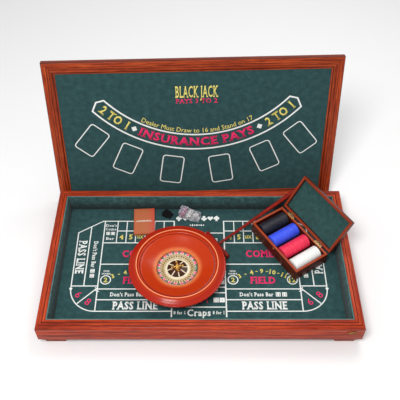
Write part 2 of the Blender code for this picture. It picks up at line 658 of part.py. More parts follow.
def build_cards(frame):
    """Tuck box lying on the felt with its deck inside; the box opens towards the back."""
    cards = empty("card_pack", (*CARD_CENTRE, PLAY_FLOOR), (0, 0, CARD_TURN), frame)
    open_shell("card_box", CARD_BOX, CARD_WALL, CARD, cards, (0, 0, CARD_BOX[2] / 2), (0, 1, 0))
    room = 2 * (CARD_WALL + GAP)
    deck = (CARD_BOX[0] - room, CARD_BOX[1] - room - 1 * MM, CARD_BOX[2] - room)
    add("card_deck", box_mesh("card_deck", deck), PAPER, cards, (0, 0, CARD_BOX[2] / 2))


def build_dice(frame):
    """Five dice in a clear bag that is open at its right end."""
    bag = empty("dice_bag_frame", (*BAG_CENTRE, PLAY_FLOOR), (0, 0, BAG_TURN), frame)
    open_shell("dice_bag", BAG_SIZE, BAG_FILM, FILM, bag, (0, 0, BAG_SIZE[2] / 2), (1, 0, 0))
    floor = BAG_FILM + GAP + DIE_SIZE / 2
    spots = ((-21, -7.7, 4, RED_DIE), (-21, 7.7, -4, RED_DIE), (-3, -7.6, 5, WHITE_DIE),
             (-2, 7.7, 3, WHITE_DIE), (17, 3, -20, WHITE_DIE))
    for i, (x, y, turn, spec) in enumerate(spots, start=1):
        die = add(f"die_{i}", box_mesh(f"die_{i}", (DIE_SIZE,) * 3), spec, bag,
                  (x * MM, y * MM, floor), (0, 0, math.radians(turn)))
        bevel(die, 1.2 * MM)


def build_pouch(frame):
    """Small flat cloth pouch against the back liner."""
    pouch = add("cloth_pouch", box_mesh("cloth_pouch", POUCH_SIZE), POUCH_CLOTH, frame,
                (*POUCH_CENTRE, PLAY_FLOOR + POUCH_SIZE[2] / 2), (0, 0, POUCH_TURN))
    bevel(pouch, 3.5 * MM, 3)


def build():
    """Build the whole set."""
    frame = empty("craps_set_frame", (-MIDDLE[0], -MIDDLE[1], 0))
    build_tray(frame)
    build_top(frame)
    build_wheel(frame)
    build_chip_box(frame)
    build_rake(frame)
    build_cards(frame)
    build_dice(frame)
    build_pouch(frame)


clear_scene()
PARTS = bpy.data.collections.new("craps_table")
CUTTERS = bpy.data.collections.new("cutters")
bpy.context.scene.collection.children.link(PARTS)
bpy.context.scene.collection.children.link(CUTTERS)
build()
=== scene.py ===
"""Finished look of a tabletop craps set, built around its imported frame.

Sizes in the classes are millimetres; meshes are in metres, in the frame's own axes.
"""

import logging
import math
import random
from contextlib import contextmanager
from dataclasses import dataclass, field
from enum import Enum
from typing import Any, Callable, Iterator, Sequence, Union

import bmesh
import bpy
from mathutils import Matrix, Vector, noise


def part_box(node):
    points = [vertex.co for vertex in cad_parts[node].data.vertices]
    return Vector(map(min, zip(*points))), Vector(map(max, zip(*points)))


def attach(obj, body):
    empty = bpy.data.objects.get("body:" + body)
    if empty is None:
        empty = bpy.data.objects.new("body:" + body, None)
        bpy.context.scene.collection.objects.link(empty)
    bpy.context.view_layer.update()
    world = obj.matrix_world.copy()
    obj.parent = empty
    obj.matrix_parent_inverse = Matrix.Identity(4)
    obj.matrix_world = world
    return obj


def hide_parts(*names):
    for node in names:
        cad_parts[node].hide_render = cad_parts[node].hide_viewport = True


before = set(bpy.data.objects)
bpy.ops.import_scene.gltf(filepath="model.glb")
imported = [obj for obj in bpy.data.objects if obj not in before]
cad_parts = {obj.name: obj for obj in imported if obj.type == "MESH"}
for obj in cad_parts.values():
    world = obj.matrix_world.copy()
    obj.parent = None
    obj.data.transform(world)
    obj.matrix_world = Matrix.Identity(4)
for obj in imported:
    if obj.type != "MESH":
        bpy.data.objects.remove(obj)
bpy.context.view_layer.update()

LOG = logging.getLogger("craps_set")
MM = 0.001
GAP = 0.3
FELT_TOP = 28.3
PLAY_FLOOR = 28.6
INK_THICKNESS = 0.06
LAYER_STEP = 0.025
CAPITAL = 0.685

CHIP_COUNT = 26
CHIP_PITCH = 86 / CHIP_COUNT
RED_NUMBERS = {1, 3, 5, 7, 9, 12, 14, 16, 18, 19, 21, 23, 25, 27, 30, 32, 34, 36}
WHEEL_ORDER = (0, 28, 9, 26, 30, 11, 7, 20, 32, 17, 5, 22, 34, 15, 3, 24, 36, 13, 1, -1, 27, 10, 25,
               29, 12, 8, 19, 31, 18, 6, 21, 33, 16, 4, 23, 35, 14, 2)

Point = tuple[float, float]
Colour = tuple[float, float, float, float]
Object = bpy.types.Object
Value = Union["Wire", float]


# ---- places ---------------------------------------------------------------------------------
def move(x: float = 0.0, y: float = 0.0, z: float = 0.0) -> Matrix:
    """A shift in millimetres, as a matrix in metres."""
    return Matrix.Translation((x * MM, y * MM, z * MM))


def spin_by(degrees: float, axis: str = "Z") -> Matrix:
    """A turn about one axis."""
    return Matrix.Rotation(math.radians(degrees), 4, axis)


def tray_place() -> Matrix:
    """The tray's middle on the ground, read from its playing felt."""
    low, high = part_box("craps_felt")
    return Matrix.Translation(((low.x + high.x) / 2, (low.y + high.y) / 2, 0))


TRAY = tray_place()


def arc(centre: Point, radius: float, start: float, end: float, steps: int) -> list[Point]:
    """Points along an arc.

    Args:
        centre: The arc's centre.
        radius: Its radius, in the same unit.
        start: First angle, in degrees.
        end: Last angle, in degrees.
        steps: Number of straight pieces.

    Returns:
        steps + 1 points from start to end.
    """
    angles = [math.radians(start + (end - start) * i / steps) for i in range(steps + 1)]
    return [(centre[0] + radius * math.cos(a), centre[1] + radius * math.sin(a)) for a in angles]


# ---- the bench: modelling operators ----------------------------------------------------------
def take(*objects: Object) -> None:
    """Select only these objects, in object mode; the last one becomes active.

    Args:
        *objects: What is wanted.
    """
    if bpy.context.object and bpy.context.object.mode != "OBJECT":
        bpy.ops.object.mode_set(mode="OBJECT")
    bpy.ops.object.select_all(action="DESELECT")
    for each in objects:
        each.select_set(True)
        bpy.context.view_layer.objects.active = each


def start(name: str, maker: Callable, **settings: Any) -> Object:
    """Add a primitive with nothing else selected.

    Args:
        name: Name of the new piece.
        maker: The operator that adds it.
        **settings: The operator's settings.

    Returns:
        The new object.
    """
    take()
    maker(**settings)
    made = bpy.context.object
    made.name = made.data.name = name
    return made


@contextmanager
def editing(piece: Object, everything: bool = True) -> Iterator[None]:
    """Edit mode on one piece, with all or nothing of its mesh selected.

    Args:
        piece: The object.
        everything: Whether its whole mesh starts selected.

    Yields:
        Nothing; the mesh stays in edit mode while the block runs.
    """
    take(piece)
    bpy.ops.object.mode_set(mode="EDIT")
    bpy.ops.mesh.select_mode(type="VERT")
    bpy.ops.mesh.select_all(action="SELECT" if everything else "DESELECT")
    yield
    bpy.ops.object.mode_set(mode="OBJECT")


def pick(piece: Object, part: str, test: Callable[[Any], bool]) -> None:
    """Select what passes a test, in edit mode.

    Args:
        piece: The object in edit mode.
        part: "verts", "edges" or "faces".
        test: True for each element that is wanted.
    """
    bpy.ops.mesh.select_mode(type={"verts": "VERT", "edges": "EDGE", "faces": "FACE"}[part])
    bpy.ops.mesh.select_all(action="DESELECT")
    mesh = bmesh.from_edit_mesh(piece.data)
    for each in getattr(mesh, part):
        if test(each):
            each.select_set(True)
    bmesh.update_edit_mesh(piece.data)


def tidy(piece: Object, distance: float = 0.005) -> Object:
    """Merge doubles within a distance in millimetres and face everything outwards.

    Args:
        piece: The object.
        distance: Points nearer than this are merged, in millimetres.

    Returns:
        The piece.
    """
    with editing(piece):
        bpy.ops.mesh.remove_doubles(threshold=distance * MM)
        bpy.ops.mesh.normals_make_consistent(inside=False)
    return piece


def modify(piece: Object, kind: str, **settings: Any) -> Object:
    """Add one modifier, set it and apply it.

    Args:
        piece: The object.
        kind: The modifier's type.
        **settings: Its settings.

    Returns:
        The piece.
    """
    take(piece)
    added = piece.modifiers.new(kind.lower(), kind)
    for key, value in settings.items():
        setattr(added, key, value)
    bpy.ops.object.modifier_apply(modifier=added.name)
    return piece


def ease(piece: Object, width: float = 0.5, segments: int = 2, angle: float = 40) -> Object:
    """Round a piece's sharp edges by a width in millimetres."""
    return modify(piece, "BEVEL", width=width * MM, segments=segments, limit_method="ANGLE",
                  angle_limit=math.radians(angle))


def smooth(piece: Object, angle: float = 35) -> Object:
    """Shade smooth, but keep edges sharper than an angle.

    Args:
        piece: The object.
        angle: Edges sharper than this stay sharp, in degrees.

    Returns:
        The piece.
    """
    take(piece)
    bpy.ops.object.shade_smooth_by_angle(angle=math.radians(angle))
    return piece


def settle(piece: Object, place: Matrix = Matrix.Identity(4)) -> Object:
    """Move a piece's own transform and its place into its mesh, and leave its object at the origin.

    Args:
        piece: The object.
        place: Frame that it is built in.

    Returns:
        The piece.
    """
    turned_over = (place @ piece.matrix_basis).determinant() < 0
    piece.data.transform(place @ piece.matrix_basis)
    piece.matrix_basis = Matrix.Identity(4)
    piece.data.update()
    return tidy(piece, 0.0001) if turned_over else piece


def join(name: str, parts: Sequence[Object]) -> Object:
    """Join settled parts into one piece under a new name.

    Args:
        name: Name of the piece.
        parts: Settled parts.

    Returns:
        The joined piece.
    """
    take(*parts)
    if len(parts) > 1:
        bpy.ops.object.join()
    made = bpy.context.view_layer.objects.active
    made.name = made.data.name = name
    return made


def copy_of(piece: Object, place: Matrix) -> Object:
    """A copy with its own mesh, moved by a matrix.

    Args:
        piece: The object.
        place: Move of the copy.

    Returns:
        The copy.
    """
    take(piece)
    bpy.ops.object.duplicate(linked=False)
    return settle(bpy.context.object, place)


def repeat(name: str, piece: Object, places: Sequence[Matrix]) -> Object:
    """Copies of one piece at several places, joined; the first piece is used up.

    Args:
        name: Name of the piece.
        piece: The object.
        places: A frame for each copy.

    Returns:
        The joined copies.
    """
    copies = [copy_of(piece, place) for place in places]
    bpy.data.objects.remove(piece)
    return join(name, copies)


def shape_points(piece: Object, rule: Callable[[Vector], Vector]) -> Object:
    """Move each point of a mesh by a rule, in metres.

    Args:
        piece: The object.
        rule: Gives a point its new place.

    Returns:
        The piece.
    """
    for corner in piece.data.vertices:
        corner.co = rule(corner.co.copy())
    piece.data.update()
    return piece


def rod(name: str, outline: Sequence[Point], low: float, high: float) -> Object:
    """A closed outline in YZ drawn out along X, in millimetres.

    Args:
        name: Name of the piece.
        outline: Its corners in order.
        low: Where it starts.
        high: Where it ends.

    Returns:
        The rod.
    """
    made = start(name, bpy.ops.mesh.primitive_circle_add, vertices=len(outline), fill_type="NGON")
    for corner, (y, z) in zip(made.data.vertices, outline):
        corner.co = (low * MM, y * MM, z * MM)
    with editing(made):
        bpy.ops.mesh.extrude_region_move(TRANSFORM_OT_translate={"value": ((high - low) * MM, 0, 0)})
    return tidy(made)


def block(name: str, size: tuple[float, float, float], round_by: float = 0.8,
          segments: int = 3) -> Object:
    """A block about the origin with rounded edges, in millimetres.

    Args:
        name: Name of the piece.
        size: Its sides.
        round_by: Radius of its edges, or 0.
        segments: Steps of a rounded edge.

    Returns:
        The block.
    """
    half_y, half_z = size[1] / 2, size[2] / 2
    corners = [(-half_y, -half_z), (half_y, -half_z), (half_y, half_z), (-half_y, half_z)]
    made = rod(name, corners, -size[0] / 2, size[0] / 2)
    return smooth(ease(made, round_by, segments)) if round_by else made


def turned(name: str, profile: Sequence[Point], steps: int = 96, closed: bool = True) -> Object:
    """A lathe piece about Z.

    Args:
        name: Name of the piece.
        profile: (radius, height) points in millimetres; open ones start and end on the axis.
        steps: Number of faces round the piece.
        closed: Whether the profile is a ring clear of the axis.

    Returns:
        The turned object.
    """
    made = start(name, bpy.ops.mesh.primitive_circle_add, vertices=len(profile), fill_type="NOTHING")
    for corner, (radius, height) in zip(made.data.vertices, profile):
        corner.co = (radius * MM, 0, height * MM)
    with editing(made):
        if not closed:
            pick(made, "edges", lambda edge: all(abs(v.co.x) < 1e-9 for v in edge.verts))
            bpy.ops.mesh.delete(type="EDGE")
            bpy.ops.mesh.select_mode(type="VERT")
            bpy.ops.mesh.select_all(action="SELECT")
        bpy.ops.mesh.spin(steps=steps, angle=2 * math.pi, center=(0, 0, 0), axis=(0, 0, 1))
    return smooth(tidy(made))


def mitred(name: str, outline: Sequence[Point], run: float, gap: float = 0.1,
           ends: tuple[int, ...] = (1, -1), cuts: int = 0) -> Object:
    """A moulding along X with 45 degree ends.

    Args:
        name: Name of the rail.
        outline: (outward, up) points from the inner edge.
        run: Length of the inner edge.
        gap: Joint width at a mitre.
        ends: Which ends are cut.
        cuts: Number of even subdivisions along the rail.

    Returns:
        The rail, with its inner edge on the X axis.
    """
    reach = run / 2 + 2 * max(abs(y) for y, _ in outline)
    made = rod(name, outline, -reach, reach)
    for side in ends:
        with editing(made):
            bpy.ops.mesh.bisect(plane_co=(side * (run - gap) / 2 * MM, 0, 0), plane_no=(side, -1, 0),
                                use_fill=True, clear_outer=True)
    for i in range(1, cuts):
        with editing(made):
            bpy.ops.mesh.bisect(plane_co=((i / cuts - 0.5) * run * 0.98 * MM, 0, 0),
                                plane_no=(1, 0, 0))
    return tidy(made)


def four_sides(length: float, depth: float) -> dict[str, tuple[float, Matrix]]:
    """Run and place of the four rails round an opening.

    Args:
        length: Inner length along X.
        depth: Inner depth along Y.

    Returns:
        Run and frame by side.
    """
    return {
        "front": (length, move(0, -depth / 2) @ spin_by(180)),
        "back": (length, move(0, depth / 2)),
        "left": (depth, move(-length / 2, 0) @ spin_by(90)),
        "right": (depth, move(length / 2, 0) @ spin_by(-90)),
    }


def ribbon(name: str, line: Sequence[Point], width: float, closed: bool = False,
           layer: int = 0) -> Object:
    """A flat strip with mitred bends along a line in XY.

    Args:
        name: Name of the strip.
        line: Its middle line, in millimetres.
        width: Its width.
        closed: Whether it runs back to its start.
        layer: Height step, which keeps crossing strips apart.

    Returns:
        The strip as a one-sided mesh.
    """
    points = [Vector(p) for p in line]
    count = len(points)
    rows = count + 1 if closed else count
    made = start(name, bpy.ops.mesh.primitive_grid_add, x_subdivisions=rows - 1, y_subdivisions=1)
    for i in range(rows):
        here = points[i % count]
        before = points[(i - 1) % count] if closed or i else here - (points[1] - here)
        after = points[(i + 1) % count] if closed or i < count - 1 else here + (here - before)
        into, out = (here - before).normalized(), (after - here).normalized()
        bisector = (into + out).normalized()
        normal = Vector((-bisector.y, bisector.x))
        reach = width / 2 / max(0.3, normal.dot(Vector((-into.y, into.x))))
        for row, side in ((0, -1), (rows, 1)):
            spot = here + normal * reach * side
            made.data.vertices[i + row].co = (spot.x * MM, spot.y * MM, layer * LAYER_STEP * MM)
    with editing(made):
        if closed:
            bpy.ops.mesh.remove_doubles(threshold=0.001 * MM)
    return made


def patch(name: str, outline: Sequence[Point], layer: int = 0) -> Object:
    """A flat filled outline in XY, in millimetres.

    Args:
        name: Name of the piece.
        outline: Its corners in order.
        layer: Height step of crossing shapes.

    Returns:
        The one-sided patch.
    """
    made = start(name, bpy.ops.mesh.primitive_circle_add, vertices=len(outline), fill_type="NGON")
    for corner, (x, y) in zip(made.data.vertices, outline):
        corner.co = (x * MM, y * MM, layer * LAYER_STEP * MM)
    made.data.update()
    if made.data.polygons[0].normal.z < 0:
        with editing(made):
            bpy.ops.mesh.flip_normals()
    return made


def add_serifs(letters: Object, bold: float, reach: float = 0.05, thick: float = 0.08) -> None:
    """Slab feet and heads on every straight stem of flat letters.

    Args:
        letters: The letters as a mesh, one unit high.
        bold: How far their strokes have grown.
        reach: How far a slab sticks out beyond its stem.
        thick: Height of a slab.
    """
    with editing(letters):
        mesh = bmesh.from_edit_mesh(letters.data)
        rims = [edge for edge in mesh.edges if edge.is_boundary]
        for level, up in ((-bold, 1), (CAPITAL + bold, -1)):
            ends = [sorted(v.co.x for v in edge.verts) for edge in rims
                    if all(abs(v.co.y - level) < 0.006 for v in edge.verts)]
            for low, high in ends:
                span = (low - reach, high + reach)
                corners = [(span[0], level), (span[1], level), (span[1], level + up * thick),
                           (span[0], level + up * thick)]
                mesh.faces.new([mesh.verts.new((x, y, 0.00002)) for x, y in corners[::up]])
        bmesh.update_edit_mesh(letters.data)


def lettering(name: str, words: str, height: float, width: float = 0.0, bold: float = 0.0,
              serif: bool = False) -> Object:
    """Flat letters about the origin, with capitals of a height in millimetres.

    Args:
        name: Name of the piece.
        words: What is written.
        height: Height of the capitals.
        width: Width of the whole line, or 0 for the letters' own.
        bold: How much the strokes grow, as a share of the letter size.
        serif: Whether stems get slab serifs.

    Returns:
        The letters as one flat mesh, read along X.
    """
    made = start(name, bpy.ops.object.text_add)
    made.data.body = words
    made.data.offset = bold
    made.data.resolution_u = 2
    made.data.space_character = 1.12 if serif else 1.0
    bpy.ops.object.convert(target="MESH")
    made = bpy.context.object
    if serif:
        add_serifs(made, bold)
    xs = [v.co.x for v in made.data.vertices]
    stretch_y = height * MM / CAPITAL
    stretch_x = width * MM / (max(xs) - min(xs)) if width else stretch_y
    middle = (max(xs) + min(xs)) / 2
    return shape_points(made, lambda p: Vector(((p.x - middle) * stretch_x,
                                                (p.y - CAPITAL / 2) * stretch_y, p.z)))


# ---- shader writing --------------------------------------------------------------------------
def paint(red: float, green: float, blue: float) -> Colour:
    """A screen colour from 0 to 255 as a linear shader colour.

    Args:
        red: First channel.
        green: Second channel.
        blue: Third channel.

    Returns:
        The linear colour.
    """
    def linear(value: float) -> float:
        """One channel."""
        share = value / 255
        return share / 12.92 if share <= 0.04045 else ((share + 0.055) / 1.055) ** 2.4
    return linear(red), linear(green), linear(blue), 1.0


class Wire:
    """One shader socket that takes part in Python arithmetic."""

    def __init__(self, recipe: "Recipe", socket: bpy.types.NodeSocket) -> None:
        """Keep the recipe it belongs to and its socket."""
        self.recipe = recipe
        self.socket = socket

    def maths(self, operation: str, *values: Value) -> "Wire":
        """A Math node on these values."""
        return self.recipe.node("ShaderNodeMath", {"operation": operation}, dict(enumerate(values)))

    def __add__(self, other: Value) -> "Wire":
        """self + other."""
        return self.maths("ADD", self, other)

    __radd__ = __add__

    def __mul__(self, other: Value) -> "Wire":
        """self * other."""
        return self.maths("MULTIPLY", self, other)

    __rmul__ = __mul__

    def __sub__(self, other: Value) -> "Wire":
        """self - other."""
        return self.maths("SUBTRACT", self, other)

    def __rsub__(self, other: Value) -> "Wire":
        """other - self."""
        return self.maths("SUBTRACT", other, self)

    def __pow__(self, other: Value) -> "Wire":
        """self to a power."""
        return self.maths("POWER", self, other)

    def __abs__(self) -> "Wire":
        """Size of the value."""
        return self.maths("ABSOLUTE", self)

    def sine(self) -> "Wire":
        """Sine of the value."""
        return self.maths("SINE", self)

    def largest(self, other: Value) -> "Wire":
        """The larger of two values."""
        return self.maths("MAXIMUM", self, other)

    def between(self, low: float, high: float) -> "Wire":
        """0 at low, 1 at high, and smooth between them."""
        return self.recipe.node("ShaderNodeMapRange", {"interpolation_type": "SMOOTHSTEP"},
                                {"Value": self, "From Min": low, "From Max": high})


class Recipe:
    """A material under construction."""

    def __init__(self, name: str) -> None:
        """Start a node material under a name.

        Args:
            name: The material's name.
        """
        self.material = bpy.data.materials.new(name)
        self.material.use_nodes = True
        self.nodes = self.material.node_tree.nodes
        self.links = self.material.node_tree.links
        self.shader = self.nodes["Principled BSDF"]

    def node(self, kind: str, settings: dict[str, Any] | None = None,
             inputs: dict[Any, Any] | None = None, output: int | str = 0) -> Wire:
        """Add any node.

        Args:
            kind: The node's type name.
            settings: Its own settings; "stops" fills a colour ramp.
            inputs: Values or wires for its sockets, by name or number.
            output: Which output to hand back.

        Returns:
            The chosen output.
        """
        made = self.nodes.new(kind)
        for key, value in (settings or {}).items():
            if key == "stops":
                self._fill_ramp(made.color_ramp, value)
            else:
                setattr(made, key, value)
        for key, value in (inputs or {}).items():
            self.feed(made.inputs[key], value)
        return Wire(self, made.outputs[output])

    @staticmethod
    def _fill_ramp(ramp: bpy.types.ColorRamp, stops: Sequence[tuple[float, Colour]]) -> None:
        """Set a ramp's stops.

        Args:
            ramp: A colour ramp.
            stops: Positions and colours.
        """
        while len(ramp.elements) < len(stops):
            ramp.elements.new(0.5)
        for element, (position, colour) in zip(ramp.elements, stops):
            element.position = position
            element.color = colour

    def feed(self, socket: bpy.types.NodeSocket, value: Any) -> None:
        """Link a wire into a socket, or set its own value.

        Args:
            socket: Where it goes.
            value: A wire, number or colour.
        """
        if isinstance(value, Wire):
            self.links.new(value.socket, socket)
        else:
            socket.default_value = value

    def finish(self, **sockets: Any) -> bpy.types.Material:
        """Set the shader's sockets by name, with _ for a space, and hand the material back.

        Args:
            **sockets: Values or wires by name.

        Returns:
            The material.
        """
        for key, value in sockets.items():
            self.feed(self.shader.inputs[key.replace("_", " ")], value)
        return self.material

    def local(self, place: Matrix, size: tuple[float, float, float] = (1, 1, 1)) -> Wire:
        """Object coordinates in a piece's own frame.

        Args:
            place: The frame, in metres.
            size: Length of one pattern unit along each of its axes, in millimetres.

        Returns:
            The coordinates.
        """
        here = self.node("ShaderNodeTexCoord", output="Object")
        return self.node("ShaderNodeMapping", {"vector_type": "TEXTURE"}, {
            "Vector": here, "Location": place.to_translation(), "Rotation": place.to_euler(),
            "Scale": Vector(size) * MM})

    def axis(self, vector: Wire, which: str) -> Wire:
        """X, Y or Z of a vector."""
        return self.node("ShaderNodeSeparateXYZ", None, {0: vector}, which)

    def grain(self, vector: Wire, detail: float = 2.0, rough: float = 0.5, bend: float = 0.0) -> Wire:
        """Noise about 0.5 over a vector."""
        return self.node("ShaderNodeTexNoise", None, {
            "Vector": vector, "Scale": 1.0, "Detail": detail, "Roughness": rough, "Distortion": bend})

    def noise(self, place: Matrix, size: tuple[float, float, float], detail: float = 2.0,
              rough: float = 0.5, bend: float = 0.0) -> Wire:
        """Noise in a frame, with its size along each axis in millimetres."""
        return self.grain(self.local(place, size), detail, rough, bend)

    def ramp(self, value: Wire, stops: Sequence[tuple[float, Colour]]) -> Wire:
        """A colour ramp."""
        return self.node("ShaderNodeValToRGB", {"stops": stops}, {0: value})

    def blend(self, amount: Value, first: Any, second: Any, kind: str = "MIX") -> Wire:
        """Mix two colours."""
        return self.node("ShaderNodeMix", {"data_type": "RGBA", "blend_type": kind},
                         {0: amount, 6: first, 7: second}, 2)

    def bump(self, height: Wire, depth: float, strength: float = 1.0) -> Wire:
        """A bump of a depth in millimetres."""
        return self.node("ShaderNodeBump", None,
                         {"Height": height, "Distance": depth * MM, "Strength": strength})


# ---- finishes --------------------------------------------------------------------------------
@dataclass(frozen=True)
class Wood:
    """Stained and varnished hardwood with its grain along one axis of its frame.

    Each groove, given by its place across a rail and its width, is darkened with painted shade. A
    painted highlight tone lies between two heights.
    """

    name: str
    pale: Colour
    mid: Colour
    dark: Colour
    coat: float = 0.09
    rough: float = 0.42
    figure: float = 0.5
    grooves: tuple[Point, ...] = ()
    worn: Point = (0.0, 0.0)
    worn_tone: Colour = (0.5, 0.1, 0.05, 1.0)

    def cut(self, tag: str, place: Matrix, turn: float = 0.0) -> bpy.types.Material:
        """The material for one rail.

        Args:
            tag: Added to the material's name.
            place: Frame of the piece.
            turn: Turn of the grain from the frame's X, in degrees about its Z.

        Returns:
            The material.
        """
        recipe = Recipe(f"{self.name}_{tag}")
        run = place @ spin_by(turn)
        bands = recipe.noise(run, (170, 7, 7), 3, 0.55, 0.8)
        fibres = recipe.noise(run, (34, 1.1, 1.1), 3, 0.6, 0.3)
        pores = recipe.noise(run, (6, 0.45, 0.45), 1, 0.5)
        tone = bands * self.figure + fibres * (1 - self.figure)
        colour = recipe.ramp(tone, [(0.34, self.dark), (0.5, self.mid), (0.66, self.pale)])
        flecks = pores.between(0.56, 0.72)
        here = recipe.local(place)
        # Painted highlight: a lighter tone between two heights.
        if self.worn != (0.0, 0.0):
            colour = recipe.blend(recipe.axis(here, "Z").between(*self.worn) * 0.85, colour,
                                  self.worn_tone)
        colour = recipe.blend(flecks * 0.5, colour, self.dark)
        across = recipe.axis(here, "Y")
        # Painted shade darkens each groove and step across the rail.
        for middle, width in self.grooves:
            groove_shade = 1 - abs(across - middle).between(width / 2, width / 2 + 0.5)
            colour = recipe.blend(groove_shade * 0.8, colour, self.dark)
        return recipe.finish(
            Base_Color=colour, Roughness=self.rough + 0.2 * (fibres - 0.5),
            Coat_Weight=self.coat, Coat_Roughness=0.2, Specular_IOR_Level=0.16,
            Normal=recipe.bump(fibres * 0.7 - flecks * 0.5, 0.12, 0.6))


@dataclass(frozen=True)
class Felt:
    """Woollen playing felt: short fuzz, soft mottles and stray light fibres."""

    name: str
    deep: Colour
    base: Colour
    light: Colour
    foot: float = 0.0
    rim: float = 0.0

    def material(self, place: Matrix) -> bpy.types.Material:
        """The cloth's material; with a foot and a rim height it is darker towards its foot with painted
        shade, and has a painted highlight band at its top.

        Args:
            place: The pattern's frame.

        Returns:
            The material.
        """
        recipe = Recipe(self.name)
        mottle = recipe.noise(place, (16, 16, 16), 4, 0.6)
        fuzz = recipe.noise(place, (1.5, 1.5, 1.5), 3, 0.7)
        hair = recipe.noise(place @ spin_by(31), (3.2, 0.35, 0.6), 2, 0.5)
        tone = mottle * 0.35 + fuzz * 0.65
        colour = recipe.ramp(tone, [(0.34, self.deep), (0.52, self.base), (0.68, self.light)])
        colour = recipe.blend(hair.between(0.66, 0.8) * 0.3, colour, self.light)
        if self.rim:
            height = recipe.axis(recipe.local(place), "Z")
            # Painted shade towards the foot, and a painted highlight band at the top.
            foot_shade = 1 - height.between(self.foot, self.rim)
            colour = recipe.blend(foot_shade * 0.9, colour, self.deep)
            colour = recipe.blend(height.between(self.rim + 5.6, self.rim + 6.4) * 0.6, colour,
                                  self.light)
        return recipe.finish(
            Base_Color=colour, Roughness=0.96, Specular_IOR_Level=0.12, Sheen_Weight=0.12,
            Sheen_Roughness=0.6, Normal=recipe.bump(fuzz + hair * 0.5, 0.5, 0.55))


@dataclass(frozen=True)
class Lacquer:
    """Turned wood under orange lacquer, toned by its distance from the axis; its inner glow is a
    painted highlight.

    A bead (radius, width, height) gets a painted highlight, and a ball track (radius, width) gets
    painted shade.
    """

    name: str
    inner: Colour
    body: Colour
    outer: Colour
    glow_radius: float
    edge_radius: float
    shine: Colour = (0.0, 0.0, 0.0, 1.0)
    bead: tuple[float, float, float] = (0.0, 0.0, 0.0)
    track: Point = (0.0, 0.0)
    track_tone: Colour = paint(110, 14, 6)

    def material(self, place: Matrix) -> bpy.types.Material:
        """The lacquer's material, centred on a frame.

        Args:
            place: The pattern's frame.

        Returns:
            The material.
        """
        recipe = Recipe(self.name)
        here = recipe.local(place)
        x, y, z = (recipe.axis(here, letter) for letter in "XYZ")
        radius = (x ** 2 + y ** 2) ** 0.5
        rings = recipe.grain(recipe.node("ShaderNodeCombineXYZ", None,
                                         {0: radius * 0.55, 1: z * 0.3, 2: x * 0.004}), 3, 0.55)
        plank = recipe.noise(place @ spin_by(24), (90, 5, 5), 3, 0.55, 0.6)
        # Painted highlight: a lighter glow towards the inner edge, in the inner colour.
        colour = recipe.blend(radius.between(self.glow_radius, self.glow_radius + 18), self.inner,
                              self.body)
        edge = radius.between(self.edge_radius, self.edge_radius + 7)
        colour = recipe.blend(edge, colour, self.outer)
        streak = (rings * 0.4 + plank * 0.6).between(0.3, 0.72)
        colour = recipe.blend(0.4 * (1 - streak), colour, self.outer)
        if self.bead[0]:
            # Painted shade: the ball track is darkened to the track tone.
            middle, width = self.track
            worn = 1 - abs(radius - middle).between(width / 2, width / 2 + 0.9)
            colour = recipe.blend(worn * 0.85, colour, self.track_tone)
            # Painted highlight: the top of the bead is lightened to the shine colour.
            middle, width, height = self.bead
            bead_highlight = 1 - abs(radius - middle).between(width / 2, width / 2 + 0.5)
            colour = recipe.blend(bead_highlight * z.between(height, height + 1), colour, self.shine)
        return recipe.finish(
            Base_Color=colour, Roughness=0.4 + 0.16 * (rings - 0.5), Coat_Weight=0.38,
            Specular_IOR_Level=0.08, Coat_Roughness=0.17, Normal=recipe.bump(rings, 0.06, 0.5))


@dataclass(frozen=True)
class Metal:
    """Polished metal with handling marks and tarnish."""

    name: str
    bright: Colour
    dull: Colour

    def material(self, place: Matrix) -> bpy.types.Material:
        """The metal's material.

        Args:
            place: The pattern's frame.

        Returns:
            The material.
        """
        recipe = Recipe(self.name)
        cloud = recipe.noise(place, (5, 5, 5), 4, 0.65)
        brush = recipe.noise(place, (9, 0.25, 0.25), 2, 0.6)
        colour = recipe.blend(cloud.between(0.4, 0.72), self.bright, self.dull)
        return recipe.finish(
            Base_Color=colour, Metallic=1.0, Roughness=0.2 + 0.22 * cloud + 0.1 * brush,
            Normal=recipe.bump(brush, 0.02, 0.5))


@dataclass(frozen=True)
class Ink:
    """Screen print on felt or a card, thinned where the surface's fibres show through."""

    name: str
    colour: Colour
    worn: Colour

    def material(self, place: Matrix) -> bpy.types.Material:
        """The ink's material.

        Args:
            place: The pattern's frame.

        Returns:
            The material.
        """
        recipe = Recipe(self.name)
        fuzz = recipe.noise(place, (1.3, 1.3, 1.3), 3, 0.7)
        cloud = recipe.noise(place, (22, 22, 22), 2, 0.5)
        colour = recipe.blend(fuzz.between(0.56, 0.8) * 0.35 + cloud.between(0.5, 0.8) * 0.15,
                              self.colour, self.worn)
        return recipe.finish(Base_Color=colour, Roughness=0.75, Specular_IOR_Level=0.25,
                             Normal=recipe.bump(fuzz, 0.2, 0.4))


